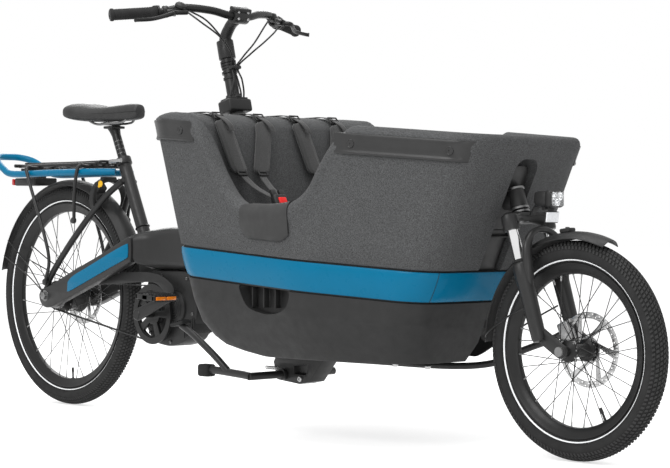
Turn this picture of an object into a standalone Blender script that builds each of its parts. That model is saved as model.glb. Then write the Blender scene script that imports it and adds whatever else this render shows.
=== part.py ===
"""Front-loading cargo bicycle: foam-walled box, mid motor, belt drive, rod steering, folded stand.

Every sub-part is one named object. Shapes are worked out in the bicycle's own frame: its origin is
on the ground below the rear axle, +X forward, +Y left, +Z up. The datum empty moves that frame so
that the middle of the whole bicycle stands over the world origin.
"""

import math

import bmesh
import bpy
from mathutils import Matrix, Vector

# ---------------------------------------------------------------- driving dimensions, in metres
DATUM_X = -0.9638                   # rear axle, seen from the middle of the bicycle's length
WHEELBASE = 2.025
GAP = 0.0004                        # left between pieces that touch

REAR_TYRE_R, REAR_BEAD_R = 0.336, 0.2795
FRONT_TYRE_R, FRONT_BEAD_R = 0.2595, 0.203
TYRE_HALF_WIDTH = 0.029
ROTOR_R, ROTOR_SEAT_R, ROTOR_THICK = 0.090, 0.0203, 0.002
AXLE_R, AXLE_BORE_R = 0.0078, 0.0085
WHEEL_STEPS, SPOKES = 32, 18
REAR_AXLE = Vector((0.0, 0.0, REAR_TYRE_R))
FRONT_AXLE = Vector((WHEELBASE, 0.0, FRONT_TYRE_R))

FORK_LEAN = math.radians(18.25)     # steering axis, top towards the back
FORK_POINT = Vector((1.845, 0.0, 0.594))
FORK_UP = Vector((-math.sin(FORK_LEAN), 0.0, math.cos(FORK_LEAN)))
FORK_FORWARD = Vector((math.cos(FORK_LEAN), 0.0, math.sin(FORK_LEAN)))
STANCHION_R, STANCHION_Y, STANCHION_AHEAD = 0.0135, 0.065, 0.016
FORK_HEAD_R, FORK_STEERER_R = 0.021, 0.0143

COLUMN_LEAN = math.radians(14.0)    # steering column, top towards the back
COLUMN_POINT = Vector((0.777, 0.0, 0.904))
COLUMN_UP = Vector((-math.sin(COLUMN_LEAN), 0.0, math.cos(COLUMN_LEAN)))
COLUMN_R, COLUMN_HEAD_R = 0.018, 0.025
COLUMN_ARM = 0.10                   # pivot of the steering rod, left of the column
ROD_Z, ROD_R = 0.188, 0.009

SEAT_TUBE_R, SEATPOST_R = 0.019, 0.0138
SEAT_TUBE_SLOPE = 0.4667            # metres back for each metre up
STAY_Y, STAY_THICK = 0.083, 0.030   # chainstays
BOTTOM_BRACKET = Vector((0.480, 0.0, 0.295))
CRANK_LENGTH, CRANK_Y = 0.165, 0.110
CRANK_ANGLE = math.radians(20.0)    # right arm, above level, pointing forward
BELT_Y, BELT_WIDTH, BELT_THICK = 0.052, 0.010, 0.003
CHAINRING_R, SPROCKET_R = 0.080, 0.0415
RACK_Z, RACK_Y = 0.711, 0.085
STAND_PIVOT = Vector((1.020, 0.0, 0.150))

# Cargo box: (level, half width, rear face, fall per metre towards the front)
BOX_LEVELS = [
    (0.213, 0.225, 1.100, 0.000), (0.225, 0.238, 1.036, 0.000), (0.240, 0.250, 0.980, 0.000),
    (0.260, 0.265, 0.955, 0.000), (0.300, 0.285, 0.925, 0.000), (0.360, 0.300, 0.908, 0.060),
    (0.420, 0.303, 0.888, 0.070), (0.490, 0.312, 0.872, 0.070), (0.857, 0.347, 0.795, 0.087)]
BOX_FALL_START = 0.90
BOX_FRONT_X, BOX_FRONT_Z, BOX_FRONT_RAKE = 1.742, 0.434, 0.465
BOX_BEND_X, BOX_TAPER = 1.370, math.radians(15.0)
BOX_CORNER_R, BOX_BEND_R = 0.095, 0.50
FOAM_WALL, FOAM_BACKREST = 0.045, 0.165
FOAM_CREST, FOAM_BOTTOM = 0.857, 0.5026
BAND_TOP, BAND_BOTTOM, BAND_THICK = 0.498, 0.424, 0.010
BAND_SEAT = 0.5012                  # the band's inner flange, just under the foam
TUB_TOP, TUB_BOTTOM, TUB_WALL = 0.4194, 0.213, 0.006
FLOOR_TOP, FLOOR_THICK = 0.285, 0.012
# Dip of each long side's rim: (distance from the rear axle, crest height)
SCOOP = [(0.965, 0.853), (0.995, 0.842), (1.034, 0.801), (1.068, 0.714), (1.116, 0.644),
         (1.172, 0.610), (1.235, 0.603), (1.306, 0.602), (1.358, 0.609), (1.414, 0.641),
         (1.469, 0.714), (1.512, 0.769), (1.561, 0.801)]

FINISHES = {                        # colour, roughness, metallic
    "blue_paint": ((0.005, 0.130, 0.250), 0.30, 0.2), "black_paint": ((0.020, 0.020, 0.021), 0.40, 0.2),
    "foam": ((0.085, 0.087, 0.090), 0.90, 0.0), "dark_plastic": ((0.035, 0.035, 0.037), 0.60, 0.0),
    "rubber": ((0.022, 0.022, 0.022), 0.80, 0.0), "tyre": ((0.020, 0.020, 0.020), 0.85, 0.0),
    "steel": ((0.560, 0.560, 0.560), 0.30, 1.0), "chrome": ((0.700, 0.700, 0.710), 0.08, 1.0),
    "fabric": ((0.030, 0.030, 0.032), 0.95, 0.0), "red_lens": ((0.350, 0.010, 0.010), 0.15, 0.0)}


# ---------------------------------------------------------------- scene, objects and pivots
for old_object in list(bpy.data.objects):
    bpy.data.objects.remove(old_object, do_unlink=True)
PARTS = bpy.data.collections.new("cargo_bicycle")
CUTTERS = bpy.data.collections.new("cutters")
bpy.context.scene.collection.children.link(PARTS)
bpy.context.scene.collection.children.link(CUTTERS)
PLACES = {"datum": Vector((0.0, 0.0, 0.0))}
DATUM = bpy.data.objects.new("datum", None)
DATUM.location = (DATUM_X, 0.0, 0.0)
PARTS.objects.link(DATUM)


def pivot(name, place, parent=DATUM):
    """An empty on a joint's axis; the joint's pieces are its children."""
    empty = bpy.data.objects.new(name, None)
    PLACES[name] = Vector(place)
    empty.parent = parent
    empty.location = PLACES[name] - PLACES[parent.name]
    PARTS.objects.link(empty)
    return empty


def shape(name, data):
    """A working shape in the bicycle's frame; it becomes a part or a cutter later."""
    piece = bpy.data.objects.new(name, data)
    CUTTERS.objects.link(piece)
    piece.parent = DATUM
    piece.hide_render = True
    piece.display_type = "WIRE"
    return piece


def as_mesh(piece):
    """The piece as one welded mesh object, which a Boolean needs."""
    if piece.type == "MESH":
        return piece
    bpy.context.view_layer.update()
    evaluated = piece.evaluated_get(bpy.context.evaluated_depsgraph_get())
    mesh = bpy.data.meshes.new_from_object(evaluated)
    welded = bmesh.new()
    welded.from_mesh(mesh)
    bmesh.ops.remove_doubles(welded, verts=welded.verts, dist=0.00001)
    bmesh.ops.recalc_face_normals(welded, faces=welded.faces)
    welded.to_mesh(mesh)
    welded.free()
    name, place, turn = piece.name, piece.location.copy(), piece.rotation_euler.copy()
    bpy.data.objects.remove(piece, do_unlink=True)
    solid = shape(name, mesh)
    solid.location = place
    solid.rotation_euler = turn
    return solid


def part(name, pieces, finish, holder=DATUM, cuts=()):
    """Join the pieces into one body, take the cuts out, and hang it on its joint's empty."""
    if not isinstance(pieces, (list, tuple)):
        pieces = [pieces]
    if len(pieces) > 1 or cuts:
        pieces = [as_mesh(piece) for piece in pieces]
    body = pieces[0]
    for operation, others in (("UNION", pieces[1:]), ("DIFFERENCE", cuts)):
        for other in others:
            boolean = body.modifiers.new(operation.lower(), "BOOLEAN")
            boolean.operation = operation
            boolean.solver = "EXACT"
            boolean.object = as_mesh(other)
    CUTTERS.objects.unlink(body)
    PARTS.objects.link(body)
    body.name = name
    body.hide_render = False
    body.display_type = "TEXTURED"
    body.parent = holder
    body.location = body.location - PLACES[holder.name]
    colour, roughness, metallic = FINISHES[finish]
    material = bpy.data.materials.new(name + "_finish")
    material.use_nodes = True
    shader = material.node_tree.nodes["Principled BSDF"]
    shader.inputs["Base Color"].default_value = (*colour, 1.0)
    shader.inputs["Roughness"].default_value = roughness
    shader.inputs["Metallic"].default_value = metallic
    body.data.materials.append(material)
    return body


# ---------------------------------------------------------------- basic shapes
def turned(name, profile, place, axis=(0.0, 1.0, 0.0), steps=24, ring=False):
    """A lathe shape; the profile is (radius, height) running down its outer side."""
    mesh = bpy.data.meshes.new(name)
    points = [(radius, 0.0, height) for radius, height in profile]
    edges = [(i, i + 1) for i in range(len(points) - 1)]
    if ring:
        edges.append((len(points) - 1, 0))
    mesh.from_pydata(points, edges, [])
    piece = shape(name, mesh)
    piece.location = place
    piece.rotation_euler = Vector((0, 0, 1)).rotation_difference(Vector(axis)).to_euler()
    screw = piece.modifiers.new("turn", "SCREW")
    screw.steps = steps
    screw.render_steps = steps
    screw.use_merge_vertices = True
    screw.merge_threshold = 0.00001
    return piece


def rod(name, start, end, radius, end_radius=None, sides=12):
    """A straight round bar or cone from start to end."""
    start, end = Vector(start), Vector(end)
    mesh = bpy.data.meshes.new(name)
    solid = bmesh.new()
    turn = Vector((0, 0, 1)).rotation_difference(end - start).to_matrix().to_4x4()
    bmesh.ops.create_cone(
        solid, cap_ends=True, segments=sides, radius1=radius, depth=(end - start).length,
        radius2=radius if end_radius is None else end_radius,
        matrix=Matrix.Translation((start + end) / 2) @ turn)
    solid.to_mesh(mesh)
    solid.free()
    return shape(name, mesh)


def block(name, centre, size, bevel=0.0, lean=0.0, segments=2):
    """A box with rounded edges; lean turns it about Y, its top towards the back."""
    mesh = bpy.data.meshes.new(name)
    solid = bmesh.new()
    bmesh.ops.create_cube(solid, size=1.0, matrix=Matrix.Diagonal((*size, 1.0)))
    solid.to_mesh(mesh)
    solid.free()
    piece = shape(name, mesh)
    piece.location = centre
    piece.rotation_euler = (0.0, -lean, 0.0)
    if bevel:
        rounding = piece.modifiers.new("rounding", "BEVEL")
        rounding.width = bevel
        rounding.segments = segments
    return piece


def smooth_route(points, spans=4):
    """Points along a Catmull-Rom curve through the given points."""
    knots = [Vector(p) for p in points]
    knots = [knots[0] * 2 - knots[1]] + knots + [knots[-1] * 2 - knots[-2]]
    route = []
    for before, a, b, after in zip(knots, knots[1:], knots[2:], knots[3:]):
        for i in range(spans):
            t = i / spans
            route.append(0.5 * (2 * a + (b - before) * t + (2 * before - 5 * a + 4 * b - after) * t * t
                                + (3 * a - before - 3 * b + after) * t * t * t))
    return route + [knots[-2]]


def tube(name, points, radius, spans=4, resolution=2):
    """A round tube along a smooth curve through the points; spans 1 keeps them as they are."""
    route = smooth_route(points, spans) if spans > 1 else [Vector(p) for p in points]
    curve = bpy.data.curves.new(name, "CURVE")
    curve.dimensions = "3D"
    curve.bevel_depth = radius
    curve.bevel_resolution = resolution
    curve.use_fill_caps = True
    curve.render_resolution_u = 0
    spline = curve.splines.new("POLY")
    spline.points.add(len(route) - 1)
    for point, place in zip(spline.points, route):
        point.co = (*place, 1.0)
    return shape(name, curve)


def plate(name, loops, thick, y):
    """A flat outline in X and Z, with holes as further loops, centred on the given Y."""
    curve = bpy.data.curves.new(name, "CURVE")
    curve.dimensions = "2D"
    curve.fill_mode = "BOTH"
    curve.extrude = thick / 2
    curve.render_resolution_u = 0
    for loop in loops:
        spline = curve.splines.new("POLY")
        spline.points.add(len(loop) - 1)
        for point, (x, z) in zip(spline.points, loop):
            point.co = (x, z, 0.0, 1.0)
        spline.use_cyclic_u = True
    piece = shape(name, curve)
    piece.location = (0.0, y, 0.0)
    piece.rotation_euler = (math.pi / 2, 0.0, 0.0)
    return piece


def loft(name, rings, around=False):
    """Skin over rings of equal point counts; around joins the last ring to the first."""
    count = len(rings[0])
    mesh = bpy.data.meshes.new(name)
    vertices = [tuple(point) for ring in rings for point in ring]
    faces = []
    pairs = len(rings) if around else len(rings) - 1
    for r in range(pairs):
        low, high = r * count, ((r + 1) % len(rings)) * count
        for i in range(count):
            j = (i + 1) % count
            faces.append((low + i, low + j, high + j, high + i))
    if not around:
        faces.append(tuple(range(count)))
        faces.append(tuple(range((len(rings) - 1) * count, len(rings) * count)))
    mesh.from_pydata(vertices, [], faces)
    solid = bmesh.new()
    solid.from_mesh(mesh)
    bmesh.ops.recalc_face_normals(solid, faces=solid.faces)
    solid.to_mesh(mesh)
    solid.free()
    return shape(name, mesh)


def strap(name, points, width, thick, side=(0.0, 1.0, 0.0), spans=3):
    """A flat bar or band along a smooth route; side is the direction of its width."""
    route = smooth_route(points, spans) if spans > 1 else [Vector(p) for p in points]
    side = Vector(side).normalized() * width / 2
    rings = []
    for i, place in enumerate(route):
        along = route[min(i + 1, len(route) - 1)] - route[max(i - 1, 0)]
        out = along.cross(side).normalized() * thick / 2
        rings.append([place + side + out, place - side + out, place - side - out, place + side - out])
    return loft(name, rings)


def circle(centre_x, centre_z, radius, count=24, start=0.0, sweep=math.tau):
    """Points on a circle or, with a sweep, on an arc that includes both ends."""
    steps = count if sweep == math.tau else count - 1
    return [(centre_x + radius * math.cos(start + sweep * i / steps),
             centre_z + radius * math.sin(start + sweep * i / steps)) for i in range(count)]


def round_both(first, first_r, second, second_r, count=24):
    """Outline that wraps two circles, such as a belt's run round two pulleys."""
    (x1, z1), (x2, z2) = first, second
    heading = math.atan2(z2 - z1, x2 - x1)
    open_angle = math.acos((first_r - second_r) / math.hypot(x2 - x1, z2 - z1))
    half = count // 2
    back = circle(x1, z1, first_r, half, heading + open_angle, math.tau - 2 * open_angle)
    ahead = circle(x2, z2, second_r, half, heading - open_angle, 2 * open_angle)
    return back + ahead


def mirrored(points):
    """The same points on the other side of the bicycle."""
    return [Vector((x, -y, z)) for x, y, z in points]


SIDES = (("right", -1.0), ("left", 1.0))


# ---------------------------------------------------------------- wheels
def tyre(name, axle, radius, bead, holder):
    """Hollow tyre: crown and walls on an ellipse, open towards the rim."""
    middle = (radius + bead) / 2
    crown = (radius - bead) / 2
    profile = [(bead, 0.013)]
    for i in range(7):
        a = math.radians(125 - 250 * i / 6)
        profile.append((middle + crown * math.cos(a), TYRE_HALF_WIDTH * math.sin(a)))
    inner = TYRE_HALF_WIDTH - 0.005
    profile += [(bead, -0.013), (bead, -0.009), (middle, -inner), (middle, inner), (bead, 0.009)]
    part(name, turned(name, profile, axle, steps=WHEEL_STEPS, ring=True), "tyre", holder)


def spoke_set(name, axle, hub_r, hub_y, rim_r):
    """Crossed spokes as one mesh of separate thin bars, inside the hub flanges and the rim."""
    mesh = bpy.data.meshes.new(name)
    solid = bmesh.new()
    for i in range(SPOKES):
        rim_angle = math.tau * i / SPOKES
        side = 1 if i % 2 else -1
        lead = 1 if (i // 2) % 2 else -1
        hub_angle = rim_angle + lead * math.radians(58)
        start = axle + Vector((hub_r * math.cos(hub_angle), side * (hub_y + lead * 0.0015),
                               hub_r * math.sin(hub_angle)))
        end = axle + Vector((rim_r * math.cos(rim_angle), side * 0.003, rim_r * math.sin(rim_angle)))
        turn = Vector((0, 0, 1)).rotation_difference(end - start).to_matrix().to_4x4()
        bmesh.ops.create_cone(solid, cap_ends=True, segments=3, radius1=0.0013, radius2=0.0013,
                              depth=(end - start).length,
                              matrix=Matrix.Translation((start + end) / 2) @ turn)
    solid.to_mesh(mesh)
    solid.free()
    return shape(name, mesh)


def wheel(name, axle, bead, hub_profile, hub_r, hub_y, holder):
    """Rim, spokes and hub as the one piece that a laced wheel is."""
    rim = turned(name + "_rim", [
        (bead + 0.003, 0.018), (bead - GAP, 0.0134), (bead - GAP, -0.0134), (bead + 0.003, -0.018),
        (bead - 0.022, -0.007), (bead - 0.022, 0.007)], axle, steps=WHEEL_STEPS, ring=True)
    hub = turned(name + "_hub", hub_profile, axle, steps=12, ring=True)
    spokes = spoke_set(name + "_spokes", axle, hub_r, hub_y, bead - 0.014)
    part(name, [rim, spokes, hub], "black_paint", holder)


def rotor(name, axle, y, holder):
    """Brake disc with windows, seated round the hub's shoulder."""
    outline = circle(axle.x, axle.z, ROTOR_R, 24)
    seat = circle(axle.x, axle.z, ROTOR_SEAT_R, 12)
    windows = []
    for i in range(6):
        start = math.tau * i / 6
        outer = circle(axle.x, axle.z, ROTOR_R - 0.016, 4, start, math.radians(42))
        inner = circle(axle.x, axle.z, 0.034, 2, start + math.radians(62), math.radians(-30))
        windows.append(outer + inner)
    part(name, plate(name, [outline, seat] + windows, ROTOR_THICK, y), "steel", holder)


REAR_WHEEL = pivot("rear_wheel_axis", REAR_AXLE)
REAR_HUB = [(AXLE_BORE_R, 0.060), (0.0195, 0.060), (0.0195, 0.033), (0.052, 0.0310),
            (0.052, 0.0260), (0.044, 0.024), (0.044, -0.024), (0.052, -0.0260), (0.052, -0.0310),
            (0.0195, -0.033), (0.0195, -0.060), (AXLE_BORE_R, -0.060)]
tyre("rear_tyre", REAR_AXLE, REAR_TYRE_R, REAR_BEAD_R, REAR_WHEEL)
wheel("rear_wheel", REAR_AXLE, REAR_BEAD_R, REAR_HUB, 0.049, 0.0285, REAR_WHEEL)
rotor("rear_rotor", REAR_AXLE, 0.048, REAR_WHEEL)

# ---------------------------------------------------------------- fork, front wheel, light
FORK_STEER = pivot("fork_steer_axis", FORK_POINT)
FORK_SLIDE = pivot("fork_slide_axis", FORK_POINT, FORK_STEER)
FRONT_WHEEL = pivot("front_wheel_axis", FRONT_AXLE, FORK_SLIDE)


def on_fork(up, ahead, y=0.0):
    """A point measured along the steering axis from its reference point, and forward of it."""
    return FORK_POINT + FORK_UP * up + FORK_FORWARD * ahead + Vector((0.0, y, 0.0))


def flat(point):
    """A point's X and Z, for a plate's outline."""
    return (point.x, point.z)


def fork_crown():
    """Steerer, arched crown and the two chromed stanchions."""
    pieces = [rod("steerer", on_fork(-0.035, 0.0), on_fork(0.044, 0.0), FORK_STEERER_R, sides=14)]
    bridge = [on_fork(-0.045, STANCHION_AHEAD, -0.065), on_fork(-0.030, 0.013, -0.048),
              on_fork(-0.0235, 0.004, -0.022), on_fork(-0.0225, 0.0, 0.0)]
    bridge += mirrored(reversed(bridge[:-1]))
    pieces.append(tube("crown_bridge", bridge, 0.0165, spans=2, resolution=2))
    for _, side in SIDES:
        y = side * STANCHION_Y
        pieces.append(rod("crown_boss", on_fork(-0.060, STANCHION_AHEAD, y),
                          on_fork(-0.020, STANCHION_AHEAD, y), 0.0205, sides=14))
        pieces.append(rod("stanchion", on_fork(-0.262, STANCHION_AHEAD, y),
                          on_fork(-0.055, STANCHION_AHEAD, y), STANCHION_R, sides=14))
    part("fork_crown", pieces, "chrome", FORK_STEER)


def fork_lowers():
    """Both lower legs, their dropouts, the arch over the tyre and the through axle."""
    pieces, bores = [], []
    foot = on_fork(-0.318, 0.018)
    for _, side in SIDES:
        y = side * STANCHION_Y
        pieces.append(rod("leg", on_fork(-0.335, STANCHION_AHEAD, y),
                          on_fork(-0.142, STANCHION_AHEAD, y), 0.0185, 0.0205, sides=14))
        outline = round_both(flat(foot), 0.017, flat(FRONT_AXLE), 0.016, 16)
        pieces.append(plate("dropout", [outline], 0.012, side * 0.059))
        bores.append(rod("stanchion_bore", on_fork(-0.305, STANCHION_AHEAD, y),
                         on_fork(-0.120, STANCHION_AHEAD, y), STANCHION_R + 0.0006, sides=14))
    arch = [on_fork(-0.160, 0.032, -0.062), on_fork(-0.110, 0.044, -0.060),
            on_fork(-0.076, 0.050, -0.036), on_fork(-0.068, 0.051, 0.0)]
    arch += mirrored(reversed(arch[:-1]))
    pieces.append(tube("arch", arch, 0.0075, spans=2))
    pieces.append(rod("axle", FRONT_AXLE - Vector((0, 0.063, 0)), FRONT_AXLE + Vector((0, 0.063, 0)),
                      AXLE_R, sides=14))
    part("fork_lowers", pieces, "black_paint", FORK_SLIDE, bores)


def fender_shell(name, axle, radius, half_width, start, sweep, count=12):
    """A curved mudguard: an arched strip swept round the wheel."""
    rings = []
    for i in range(count):
        a = start + sweep * i / (count - 1)
        section = []
        for skin, order in ((0.0, range(-2, 3)), (0.0025, range(2, -3, -1))):
            for k in order:
                y = half_width * k / 2
                drop = 0.016 * abs(k / 2) ** 2.2 + skin
                r = radius - drop
                section.append(axle + Vector((r * math.cos(a), y * (1 - skin * 8), r * math.sin(a))))
        rings.append(section)
    return loft(name, rings)


def front_fender():
    """Front mudguard with its wire stays."""
    pieces = [fender_shell("front_guard", FRONT_AXLE, 0.281, 0.034, math.radians(68), math.radians(110))]
    for _, side in SIDES:
        pieces.append(tube("front_stay", [(1.757, side * 0.029, 0.280), (1.786, side * 0.050, 0.296),
                                          (1.856, side * 0.060, 0.334), (1.912, side * 0.061, 0.360)],
                           0.0024, spans=2, resolution=0))
    part("front_fender", pieces, "black_paint", FORK_SLIDE)


def headlight():
    """Lamp body and bracket in front of the crown, with the reflector's holder under it."""
    body = block("lamp", (1.936, 0.0, 0.617), (0.062, 0.050, 0.041), 0.008)
    holder = strap("lamp_holder", [(1.892, 0.0, 0.590), (1.908, 0.0, 0.612), (1.930, 0.0, 0.616)],
                   0.022, 0.006, spans=2)
    reflector = block("reflector", (1.946, 0.0, 0.5735), (0.006, 0.048, 0.027), 0.002, math.radians(-8))
    stalk = block("stalk", (1.944, 0.0, 0.592), (0.005, 0.014, 0.030))
    part("headlight", [body, holder, reflector, stalk], "dark_plastic", FORK_STEER)


FRONT_HUB = [(AXLE_BORE_R, 0.048), (0.0195, 0.048), (0.0195, 0.036), (0.027, 0.035), (0.027, 0.030),
             (0.016, 0.026), (0.016, -0.028), (0.027, -0.031), (0.027, -0.036),
             (0.012, -0.048), (AXLE_BORE_R, -0.048)]
fork_crown()
headlight()
fork_lowers()
front_fender()
tyre("front_tyre", FRONT_AXLE, FRONT_TYRE_R, FRONT_BEAD_R, FRONT_WHEEL)
wheel("front_wheel", FRONT_AXLE, FRONT_BEAD_R, FRONT_HUB, 0.0245, 0.0325, FRONT_WHEEL)
rotor("front_rotor", FRONT_AXLE, 0.042, FRONT_WHEEL)

# ---------------------------------------------------------------- steering column and handlebar
COLUMN_STEER = pivot("column_axis", COLUMN_POINT)


def on_column(z, ahead=0.0, y=0.0):
    """A point on the column's axis at the given height, moved forward and sideways."""
    point = COLUMN_POINT + COLUMN_UP * ((z - COLUMN_POINT.z) / COLUMN_UP.z)
    return point + Vector((ahead, y, 0.0))


BAR_CLAMP = Vector((0.797, 0.0, 1.137))
GRIP_INNER, GRIP_OUTER = Vector((0.709, 0.222, 1.140)), Vector((0.656, 0.342, 1.128))
GRIP_AXIS = (GRIP_OUTER - GRIP_INNER).normalized()


def steering_column():
    """Long column with the rod's lever at its foot."""
    foot = ROD_Z + 0.0155
    lever = strap("column_lever", [on_column(foot, 0.0, -0.015), on_column(foot, 0.0, 0.050),
                                   on_column(foot, 0.0, COLUMN_ARM + 0.010)], 0.026, 0.009,
                  side=(1, 0, 0), spans=1)
    part("steering_column", [rod("column_tube", on_column(foot - 0.006), on_column(1.055), COLUMN_R,
                                 sides=16), lever], "black_paint", COLUMN_STEER)


def stem():
    """Collar on the column, gooseneck and bar clamp."""
    collar = rod("stem_collar", on_column(1.022), on_column(1.072), 0.024, sides=16)
    neck = tube("gooseneck", [on_column(1.045), on_column(1.078, 0.006), (0.757, 0.0, 1.112), BAR_CLAMP],
                0.0150, spans=2, resolution=2)
    clamp = rod("bar_clamp", BAR_CLAMP - Vector((0, 0.025, 0)), BAR_CLAMP + Vector((0, 0.025, 0)),
                0.0210, sides=16)
    bore = rod("column_bore", on_column(0.99), on_column(1.0555), COLUMN_R + GAP, sides=16)
    bar_bore = rod("bar_bore", BAR_CLAMP - Vector((0, 0.04, 0)), BAR_CLAMP + Vector((0, 0.04, 0)),
                   0.0132, sides=16)
    part("stem", [collar, neck, clamp], "black_paint", COLUMN_STEER, [bore, bar_bore])


def handlebar():
    """Swept bar, with the brake clamps that carry the levers."""
    half = [GRIP_OUTER + GRIP_AXIS * 0.004, GRIP_OUTER * 0.5 + GRIP_INNER * 0.5,
            GRIP_INNER - GRIP_AXIS * 0.012, Vector((0.746, 0.160, 1.154)), Vector((0.778, 0.090, 1.150)),
            Vector((0.795, 0.040, 1.139))]
    middle = [BAR_CLAMP + Vector((0, 0.022, 0)), BAR_CLAMP - Vector((0, 0.022, 0))]
    other = mirrored(reversed(half))
    pieces = [tube("bar", half + middle + other, 0.0112, spans=2, resolution=2)]
    for _, side in SIDES:
        base = GRIP_INNER - GRIP_AXIS * 0.024
        base = Vector((base.x, side * base.y, base.z))
        pieces.append(block("brake_clamp", base + Vector((0.010, 0, -0.006)), (0.040, 0.020, 0.024),
                            0.004, segments=1))
    part("handlebar", pieces, "black_paint", COLUMN_STEER)


def grip(name, side):
    """Rubber grip, thicker at its ends, on the bar."""
    length = (GRIP_OUTER - GRIP_INNER).length
    axis = Vector((GRIP_AXIS.x, side * GRIP_AXIS.y, GRIP_AXIS.z))
    start = Vector((GRIP_INNER.x, side * GRIP_INNER.y, GRIP_INNER.z))
    profile = [(0.0122, length), (0.0175, length - 0.002), (0.0155, length - 0.014),
               (0.0155, 0.012), (0.0190, 0.006), (0.0190, 0.0), (0.0122, 0.0)]
    part(name, turned(name, profile, start, axis, steps=16, ring=True), "rubber", COLUMN_STEER)


def brake_lever(name, side):
    """Two-finger lever blade ahead of the grip, turning on its clamp's pin."""
    base = GRIP_INNER - GRIP_AXIS * 0.024
    pin = Vector((base.x + 0.040, side * base.y, base.z - 0.008))
    holder = pivot(name + "_axis", pin, COLUMN_STEER)
    tip = GRIP_OUTER - GRIP_AXIS * 0.030
    blade = strap(name, [pin + Vector((-0.006, 0, 0)), pin + Vector((0.012, side * 0.018, -0.002)),
                         Vector((tip.x + 0.066, side * (tip.y - 0.055), tip.z - 0.010)),
                         Vector((tip.x + 0.052, side * tip.y, tip.z - 0.012))],
                  0.011, 0.007, side=(0, 0, 1), spans=3)
    part(name, blade, "black_paint", holder)


def head_cover():
    """Moulded cover round the column, where the cables end."""
    cover = block("head_cover", on_column(0.885), (0.054, 0.082, 0.036), 0.010, COLUMN_LEAN)
    bore = rod("cover_bore", on_column(0.84), on_column(0.93), COLUMN_R + GAP, sides=16)
    part("head_cover", cover, "dark_plastic", COLUMN_STEER, [bore])


def cables():
    """Brake hoses and the motor cable, held by one clip in front of the column."""
    pieces = [block("cable_clip", on_column(0.998, 0.030), (0.020, 0.030, 0.014), 0.003)]
    for _, side in SIDES:
        start = (0.778, side * 0.198, 1.132)
        pieces.append(tube("hose", [
            start, (0.814, side * 0.150, 1.104), (0.830, side * 0.070, 1.068),
            (0.800, side * 0.026, 1.026), on_column(0.998, 0.030, side * 0.009),
            on_column(0.960, 0.030, side * 0.010), on_column(0.913, 0.012, side * 0.022)],
            0.0026, spans=2, resolution=0))
    part("cables", pieces, "rubber", COLUMN_STEER)


def steering_rod():
    """Rod from the column's lever, under the box and out round the wheel, to the left fork leg."""
    joint = on_column(ROD_Z, 0.0, COLUMN_ARM)
    holder = pivot("steering_rod_axis", joint, COLUMN_STEER)
    bar = tube("rod_bar", [joint, (1.200, 0.118, ROD_Z), (1.480, 0.140, ROD_Z), (1.620, 0.158, 0.203),
                           (1.706, 0.168, 0.238), (1.780, 0.166, 0.262), (1.852, 0.140, 0.284),
                           (1.915, 0.108, 0.308)], ROD_R, spans=2, resolution=2)
    eye = rod("rod_eye", joint - COLUMN_UP * 0.011, joint + COLUMN_UP * 0.0055, 0.014)
    end = block("rod_end", (1.915, 0.106, 0.309), (0.020, 0.014, 0.024), 0.004)
    part("steering_rod", [bar, eye, end], "black_paint", holder)


steering_column()
stem()
handlebar()
head_cover()
cables()
for side_name, side_sign in SIDES:
    grip("grip_" + side_name, side_sign)
    brake_lever("brake_lever_" + side_name, side_sign)
steering_rod()


# ---------------------------------------------------------------- cargo box
def between(table, key, column):
    """Straight-line reading of a column from a table sorted by its first column."""
    key = min(max(key, table[0][0]), table[-1][0])
    for low, high in zip(table, table[1:]):
        if key <= high[0]:
            share = (key - low[0]) / (high[0] - low[0])
            return low[column] + (high[column] - low[column]) * share
    return table[-1][column]


def arc_points(centre_x, centre_y, radius, start, end, steps):
    """Plan-view arc in X and Y between two headings."""
    return [(centre_x + radius * math.cos(start + (end - start) * i / steps),
             centre_y + radius * math.sin(start + (end - start) * i / steps)) for i in range(steps + 1)]


def half_outline(level, inset=0.0, rear_inset=None):
    """Left half of the box's plan outline at a level, from rear middle to front middle."""
    half_width = between(BOX_LEVELS, level, 1) - inset
    rear = between(BOX_LEVELS, level, 2) + (inset if rear_inset is None else rear_inset)
    fall = between(BOX_LEVELS, level, 3)
    front_z = level - fall * (BOX_FRONT_X - BOX_FALL_START)
    front = BOX_FRONT_X + (front_z - BOX_FRONT_Z) * BOX_FRONT_RAKE - inset
    rear_r = max(BOX_CORNER_R - inset, 0.03)
    bend_r = BOX_BEND_R - inset
    front_r = max(BOX_CORNER_R - inset, 0.03)
    tangent = bend_r * math.tan(BOX_TAPER / 2)
    bend_start = BOX_BEND_X - tangent
    points = [(rear, 0.0), (rear, 0.055), (rear, (half_width - rear_r) / 2 + 0.03)]
    points += arc_points(rear + rear_r, half_width - rear_r, rear_r, math.pi, math.pi / 2, 4)
    side_start = rear + rear_r
    points += [(side_start + (bend_start - side_start) * i / 9, half_width) for i in range(1, 9)]
    points += arc_points(bend_start, half_width - bend_r, bend_r, math.pi / 2,
                         math.pi / 2 - BOX_TAPER, 3)
    turn = math.pi / 2 - BOX_TAPER
    slope = math.tan(BOX_TAPER)
    corner_x = front - front_r
    wall_y = half_width - slope * (corner_x - BOX_BEND_X) - front_r / math.cos(BOX_TAPER)
    corner = arc_points(corner_x, wall_y, front_r, turn, 0.0, 4)
    last, first = points[-1], corner[0]
    points += [(last[0] + (first[0] - last[0]) * i / 5, last[1] + (first[1] - last[1]) * i / 5)
               for i in range(1, 5)]
    return points + corner + [(front, wall_y / 2 + 0.02), (front, 0.042), (front, 0.0)]


def outline(level, inset=0.0, rear_inset=None):
    """Whole plan outline, right side first from the rear middle, as X and Y pairs."""
    left = half_outline(level, inset, rear_inset)
    return [(x, -y) for x, y in left] + left[-2:0:-1]


COLUMNS = len(outline(0.5))
HALF = COLUMNS // 2


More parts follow.
